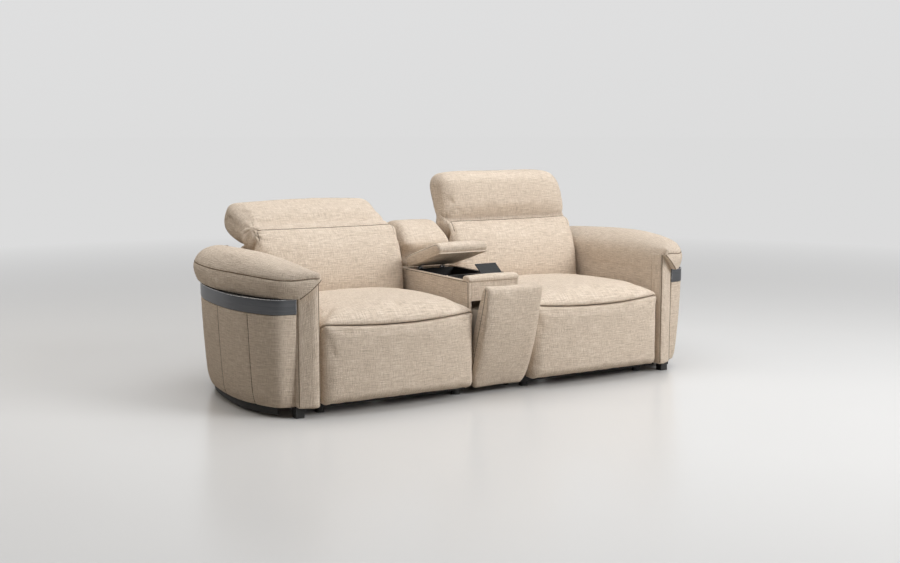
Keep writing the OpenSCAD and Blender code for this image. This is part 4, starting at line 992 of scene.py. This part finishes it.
def arm_side(side, sx):
    """Side panel with a rounded upper edge, tucked in towards the floor, and two vertical seams."""
    P, out, length = wall_line(11)
    tuck_rows = [[0, 1], [0.12, 0.75], [0.4, 0.4], [0.62, 0.18], [0.84, 0.06], [1.15, 0]]
    face, _ = spline([(-TUCK * a, WALL_Z + WALL_HEIGHT * b) for a, b in tuck_rows], 11, closed=False)
    section = [(-34.0, WALL_TOP), (-6, WALL_TOP)]
    section += [(-5 + 5 * math.sin(a), WALL_TOP - 5 + 5 * math.cos(a)) for a in np.linspace(0.2, 1.4, 4)]
    section += [tuple(q) for q in face[1:-1]]
    section += [(-32.5, 45.0), (-37.5, 43.0), (-68.0, 43.0), (-60.0, 120.0), (-45.0, 200.0), (-37.0, 330.0)]
    rings = wall_rings(P, out, section, sx)
    for ring in rings:
        ring[:, 1] = np.minimum(ring[:, 1], 947.6)
    panel = grid_loft("arm_side_cover_" + side, rings, around(section), np.linspace(0, length, len(P)), 14, 0,
                      replaces=["arm_side_panel_" + side], pad=0.95)
    finer(panel)
    uneven(panel, 0.0012, 0.2, 3.0 + sx, 0.0004, 0.04)
    for y in (190, 430):
        k = int(np.argmin(np.abs(P[: len(P) // 2, 1] - y)))
        path = []
        for z in np.linspace(47, 412, 50):
            inward = TUCK * np.interp((z - WALL_Z) / WALL_HEIGHT, [0, 0.06, 0.18, 0.4, 0.75, 1],
                                      [1.15, 0.84, 0.62, 0.4, 0.12, 0])
            path.append((sx * (P[k, 0] - out[k, 0] * inward), P[k, 1] - out[k, 1] * inward, z))
        seam(panel, path, 0.0015, 0.0002, 0.0030, 0.007, mat=PIPING_SHADE, name=f"arm_side_seam_{side}_{y}")


def arm_pad_cover(side, sx):
    """Arm pad in one piece: up the inner face, over the crown and under the outer roll, with a piped edge."""
    n = 64
    t = np.linspace(0, len(PAD_PLAN) - 1, n)
    row = np.arange(len(PAD_PLAN))

    def along(values):
        S, _ = spline(np.column_stack([row * 90.0, values]), 3, closed=False, dims=1)
        return np.interp(t * 90.0, S[:, 0], S[:, 1])

    outer_x = along([ARM_X + ARM_WIDTH * p[0] for p in PAD_PLAN])
    outer_y = along([ARM_DEPTH * p[1] for p in PAD_PLAN])
    root_y, rise = along([ARM_DEPTH * r for r in ROOT]), along(RISE)
    S, _ = spline([(a * 240 + b * 8, c * PAD_HEIGHT, a, b, c) for a, b, c in PAD_SECTION], 9, closed=False)
    underside = [(a, 0.0, 0.0) for a in np.linspace(0.90, 0.05, 16)]
    section = np.array([(r[2], r[3], r[4]) for r in S] + underside)
    rings, rim = [], [(sx * 862, -8, 558)]
    for i in range(n):
        root, outer = np.array([ARM_X, root_y[i]]), np.array([outer_x[i], outer_y[i]])
        out = (outer - root) / np.linalg.norm(outer - root)
        q = root + (outer - root) * section[:, :1] + out * 8 * section[:, 1:2]
        rings.append(np.column_stack([sx * q[:, 0], q[:, 1], PAD_Z + PAD_HEIGHT * section[:, 2] * rise[i]]))
        rim_z = PAD_Z + PAD_HEIGHT * 0.585 * rise[i] + 22 * math.exp(-(i / 5.0) ** 2)
        rim.append((sx * outer[0], outer[1], rim_z))
    u_at = lengths(np.column_stack([outer_x, outer_y]))
    top = grid_loft("arm_pad_cover_" + side, rings, around(rings[n // 2]), u_at, 12, 6,
                    replaces=["arm_pad_" + side], pad=0.85)
    cloth(top, 0.006, 0.0025, -0.008, hold_below(0.486, 0.008),
          lambda p: np.clip((np.abs(p[:, 0]) - 0.862) / 0.04, 0.05, 1))
    finer(top)
    uneven(top, 0.0014, 0.2, 7.0 + sx, 0.0005, 0.035)
    cut(top, mitre_cutter(sx))
    seam(top, rim, 0.0020, -0.0002, 0.0026, mat=PIPING_SHADE, name="arm_piping_" + side)
    mitre = [(sx * x, np.interp(x, [ARM_X, 881, 950], [-21, -31, -4]), 557.5 - 79 * (x - ARM_X) / 88)
             for x in np.linspace(863, 947, 30)]
    seam(top, mitre, 0.0019, -0.0004, 0, mat=PIPING_SHADE, name="arm_mitre_seam_" + side)


def mitre_cutter(sx):
    """Everything under the sloping joint between the pad and the front post."""
    outline = ((859, 477), (948.3, 477), (948.3, 478.3), (860, 557.3), (859, 558))
    bm = bmesh.new()
    face = bm.faces.new([bm.verts.new((sx * x, -200, z)) for x, z in outline])
    pushed(bm, [face], (0, 269.6, 0))
    bmesh.ops.translate(bm, vec=(0, -FRONT, 0), verts=bm.verts)
    bmesh.ops.scale(bm, vec=(0.001, 0.001, 0.001), verts=bm.verts)
    bmesh.ops.recalc_face_normals(bm, faces=bm.faces)
    mesh = bpy.data.meshes.new("cutter")
    bm.to_mesh(mesh)
    bm.free()
    o = bpy.data.objects.new("cutter", mesh)
    bpy.context.scene.collection.objects.link(o)
    return o


def cut(o, cutter):
    m = o.modifiers.new("mitre", "BOOLEAN")
    m.operation = "DIFFERENCE"
    m.solver = "EXACT"
    m.object = cutter
    bpy.context.view_layer.update()
    apply_modifiers(o)
    bpy.data.objects.remove(cutter)
    smooth(o.data, 50)


def arm_post(side, sx):
    """Front post with a sloping top under the mitre and two piped edges."""
    corners = [(ARM_X, 0), (886.4, 0), (941, 27.9), (POST_X, 34.6), (POST_X, 69.3), (ARM_X, 69.3)]
    P = even_round(rounded_corners(corners, [17, 30, 14, 14, 5, 3]), 5.5)
    middle = P.mean(0)
    height = POST_TOP - WALL_Z
    rings, heights = [], []
    for share in np.linspace(0, 1, 66):
        z = WALL_Z + height * share
        foot_round = 1 - math.sqrt(max(0, 1 - (1 - min(1, (z - WALL_Z) / 9)) ** 2))
        drawn_in = 7 * foot_round + 1.6 * math.exp(-((POST_TOP - z) / 5.0) ** 2)
        Q = middle + (P - middle) * (1 - drawn_in / 44)
        top = np.interp(Q[:, 0], [ARM_X, POST_X], [POST_TOP, PAD_Z])
        rings.append(np.column_stack([sx * Q[:, 0], Q[:, 1], WALL_Z + (top - WALL_Z) * share]))
        heights.append(height * share)
    post = grid_loft("arm_post_cover_" + side, rings, around(P), heights, 9, 0, replaces=["arm_post_" + side],
                     pad=0.9)
    uneven(post, 0.0010, 0.15, 5.0 + sx, 0.0004, 0.03)
    for x, y, z_end in ((863.5, 0.5, 553), (942.5, 28.0, 482)):
        seam(post, [(sx * x, y, z) for z in np.linspace(48, z_end, 50)], 0.0019, 0.0002, 0.0012, 0.004,
             mat=PIPING_SHADE, name=f"arm_post_piping_{side}_{int(x)}")


def arm_inner(side, sx):
    """Flat inner face with its thickness; the cloth's pattern runs round its edge."""
    x_in, thick = ARM_X + 0.3, 23.2
    bm = bmesh.new()
    bmesh.ops.create_grid(bm, x_segments=80, y_segments=46, size=1)
    for v in bm.verts:
        v.co = (sx * x_in, 470.8 + 401.2 * v.co.x, 274 + 231 * v.co.y)
    pushed(bm, bm.faces[:], (sx * thick, 0, 0))
    V, F = bm_lists(bm)
    UV = [(V[v][1] / 1000, (V[v][2] + abs(V[v][0]) - ARM_X) / 1000) for f in F for v in f]
    obj("arm_inner_cover_" + side, V, F, UV, replaces=["arm_inner_panel_" + side], pad=0.95, angle=40)


def arm_band(side, sx):
    """Metal band round the arm, with a painted highlight as a bright steel line along its upper and front
    edge.
    """
    section = [(-4, 419), (-1.2, 418), (0.2, 419.4), (0.9, 424), (0.9, 471), (0.2, 476.2), (-1.2, 477.6),
               (-4, 476.7)]
    P, out, length = wall_line(11)
    grid_loft("arm_band_trim_" + side, wall_rings(P, out, section, sx), np.linspace(0, 130, len(section) + 1),
              np.linspace(0, length, len(P)), 20, 0, mat=BAND, replaces=["arm_bands"], slot="band", angle=35)
    edge = [(sx * (p[0] + n[0] * 0.4), p[1] + n[1] * 0.4, 477.2) for p, n in zip(P, out)]
    front = [(edge[0][0], edge[0][1], z) for z in np.linspace(420, 474, 12)]
    # Bright steel line along the band's edge: a painted highlight.
    tube("arm_band_edge_highlight_" + side, to_metres(front + edge), 0.0011, HINGE, "band")


def arm_shade_skirt(side, sx):
    """Dark strip under the arm's side, set back from it: a black base that also stands in for painted shade
    under the arm.
    """
    step = 14.0
    P, out, _ = wall_line(step)
    run = (P[:, 1] > 75) & (P[:, 1] < 944)
    rings = wall_rings(P[run], out[run], [(-50, 12), (-50, 42.6), (-57, 42.6), (-57, 12)], sx)
    grid_loft("arm_shade_skirt_" + side, rings, np.linspace(0, 76, 5), np.arange(len(rings)) * step, 20, 0,
              mat=BASE, slot="base_black", angle=40)


# Rear
def rear_seat(side, sx):
    """Covered board low behind a seat, on two dark stays."""
    x = SEAT_MIDDLE * sx
    rounded_box("rear_apron_cover_" + side, (x - 356, 942, 60), (x + 356, 962, 310), 7, 4,
                replaces=["rear_panels"], pad=0.95)
    for e, letter in ((-1, "a"), (1, "b")):
        stay_x = x + e * 250
        rounded_box(f"rear_stay_{side}_{letter}", (stay_x - 20, 890, 43), (stay_x + 20, 942.5, 73), 2, 2,
                    mat=BASE, replaces=["rear_panels"], slot="base_black")


# All pieces of the scene, in order
for side, sx in SIDES:
    seed = 11.0 if sx < 0 else 37.0
    seat_cover(side, sx, seed)
    footrest_cover(side, sx, seed)
    footrest_ears(side, sx)
    back_cover(side, sx, seed)
    back_shell(side, sx, seed)
    headrest_cover(side, sx, seed)
lid_cover()
drop_front_cover()
console_covers()
for side, sx in SIDES:
    arm_side(side, sx)
    arm_pad_cover(side, sx)
    arm_post(side, sx)
    arm_inner(side, sx)
    arm_band(side, sx)
for side, sx in SIDES:
    arm_shade_skirt(side, sx)
for side, sx in SIDES:
    console_wall(side, sx)
    rear_seat(side, sx)
rounded_box("rear_console_cover", (-125.5, 942.3, 60), (125.5, 962, 640), 7, 4, replaces=["rear_panels"],
            pad=0.95)


# Nodes that stay as they come from the solids
def dress(mat, *names):
    for n in names:
        mesh = frame["nodes"][n].data
        mesh.materials.clear()
        mesh.materials.append(mat)


def both(*names):
    return [f"{name}_{side}" for name in names for side, _ in SIDES]


dress(BASE, "feet", "base_cross_rails", "base_runners", "slide_rails")
dress(STEEL, "actuator_tubes",
      *both("seat_rails", "seat_cross_tubes", "actuator_rod", "back_uprights", "back_rails",
            "headrest_shaft", "footrest_rear_links", "footrest_front_links"))
dress(PLYWOOD, "arm_base_boards")
dress(LINEN_BY_PLACE, "console_boards", "lid_board")
# The arm frames are near-black as painted shade between each arm pad and its band.
dress(LINER_AND_SHADE, "console_storage", *both("arm_frame"))
dress(BLACK, "console_tray")
dress(FLAP, "tray_flap")
dress(BIN, "drop_bin")
dress(CHROME, "drop_catch")
dress(HINGE, "lid_hinge_brackets", "lid_hinge_leaves")
dress(WEBBING, *both("seat_webbing"))


# Stage, lights and camera, in metres
def stage_floor():
    """Pale floor that fades into a light of its own far out and gives less light back than it shows."""
    material, t, surface = blank_material("studio_floor")
    coordinates = t.nodes.new("ShaderNodeTexCoord")
    away = t.nodes.new("ShaderNodeVectorMath")
    away.operation = "LENGTH"
    t.links.new(coordinates.outputs["Object"], away.inputs[0])
    far = math_node(t, "MULTIPLY", math_node(t, "SUBTRACT", away.outputs["Value"], 2.2), 1 / 5.0, clamp=True)
    ray = t.nodes.new("ShaderNodeLightPath")
    patches = noise_of(t, coordinates.outputs["Object"], 1.2, 2)
    shade = ramp(t, patches, [(0.3, (0.712, 0.712, 0.709)), (0.7, (0.722, 0.722, 0.719))])
    colour = mix_colour(t, ray.outputs["Is Diffuse Ray"], shade, (0.46, 0.43, 0.39))
    t.links.new(colour, surface.inputs["Base Color"])
    surface.inputs["Roughness"].default_value = 0.24
    surface.inputs["Specular IOR Level"].default_value = 0.35
    glow = t.nodes.new("ShaderNodeEmission")
    glow.inputs[0].default_value = (0.715, 0.715, 0.715, 1)
    t.links.new(math_node(t, "MULTIPLY_ADD", ray.outputs["Is Diffuse Ray"], -0.45, 1.0), glow.inputs[1])
    fade = t.nodes.new("ShaderNodeMixShader")
    for socket, v in zip(fade.inputs, (far, surface.outputs[0], glow.outputs[0])):
        t.links.new(v, socket)
    t.links.new(fade.outputs[0], t.get_output_node("ALL").inputs[0])
    mesh = bpy.data.meshes.new("studio_floor")
    bm = bmesh.new()
    bmesh.ops.create_circle(bm, cap_ends=True, segments=96, radius=80)
    bm.to_mesh(mesh)
    bm.free()
    mesh.materials.append(material)
    o = bpy.data.objects.new("studio_floor", mesh)
    bpy.context.scene.collection.objects.link(o)


def studio_world():
    """Pale sky for the camera, darker to the left in reflections, and a faint warm fill."""
    world = bpy.data.worlds.new("studio")
    bpy.context.scene.world = world
    world.use_nodes = True
    t = world.node_tree
    t.nodes.clear()
    out = t.nodes.new("ShaderNodeOutputWorld")
    background = t.nodes.new("ShaderNodeBackground")
    coordinates = t.nodes.new("ShaderNodeTexCoord")
    direction = t.nodes.new("ShaderNodeSeparateXYZ")
    t.links.new(coordinates.outputs["Generated"], direction.inputs[0])
    ray = t.nodes.new("ShaderNodeLightPath")
    height = math_node(t, "MULTIPLY_ADD", direction.outputs[2], 1.0, 0.02, clamp=True)
    sky = ramp(t, height, [(0.0, (0.72, 0.72, 0.72)), (0.10, (0.735, 0.735, 0.737)),
                           (0.35, (0.75, 0.75, 0.75))])
    right = math_node(t, "MULTIPLY_ADD", direction.outputs[0], 1.5, 0.95, clamp=True)
    dark = math_node(t, "SUBTRACT", 1.0, math_node(t, "MULTIPLY_ADD", right, 0.75, 0.25))
    sky = mix_colour(t, math_node(t, "MULTIPLY", ray.outputs["Is Glossy Ray"], dark), sky, (0.0, 0.0, 0.0))
    fill = mix_colour(t, ray.outputs["Is Diffuse Ray"], sky, (0.75, 0.64, 0.53))
    t.links.new(fill, background.inputs[0])
    t.links.new(math_node(t, "MULTIPLY_ADD", ray.outputs["Is Diffuse Ray"], -0.95, 1.0), background.inputs[1])
    t.links.new(background.outputs[0], out.inputs[0])


def area_light(name, place, target, size, size_y, power, colour=(1, 1, 1)):
    light = bpy.data.lights.new(name, "AREA")
    light.energy = power
    light.color = colour
    light.shape = "RECTANGLE"
    light.size = size
    light.size_y = size_y
    o = bpy.data.objects.new(name, light)
    o.location = place
    o.rotation_euler = (Vector(target) - Vector(place)).to_track_quat("-Z", "Y").to_euler()
    bpy.context.scene.collection.objects.link(o)


def photo_camera():
    camera = bpy.data.cameras.new("camera")
    camera.lens = 49.72
    camera.sensor_width = 36
    camera.clip_end = 300
    o = bpy.data.objects.new("camera", camera)
    o.location = (-2.882, -4.856, 1.167)
    o.rotation_euler = (math.radians(82.60), 0, math.radians(-30.87))
    bpy.context.scene.collection.objects.link(o)
    bpy.context.scene.camera = o


stage_floor()
studio_world()
area_light("overhead", (0.0, -0.3, 3.9), (0.0, 0, 0.3), 5.0, 3.6, 130)
area_light("fill_left_rear", (-3.4, 2.2, 3.1), (-0.8, 0, 0.4), 2.6, 2.0, 38, (1, 0.90, 0.78))
area_light("key_right_front", (3.5, -5.2, 3.7), (0.1, 0, 0.4), 3.4, 2.6, 345)
photo_camera()
bpy.context.scene.view_settings.view_transform = "Standard"
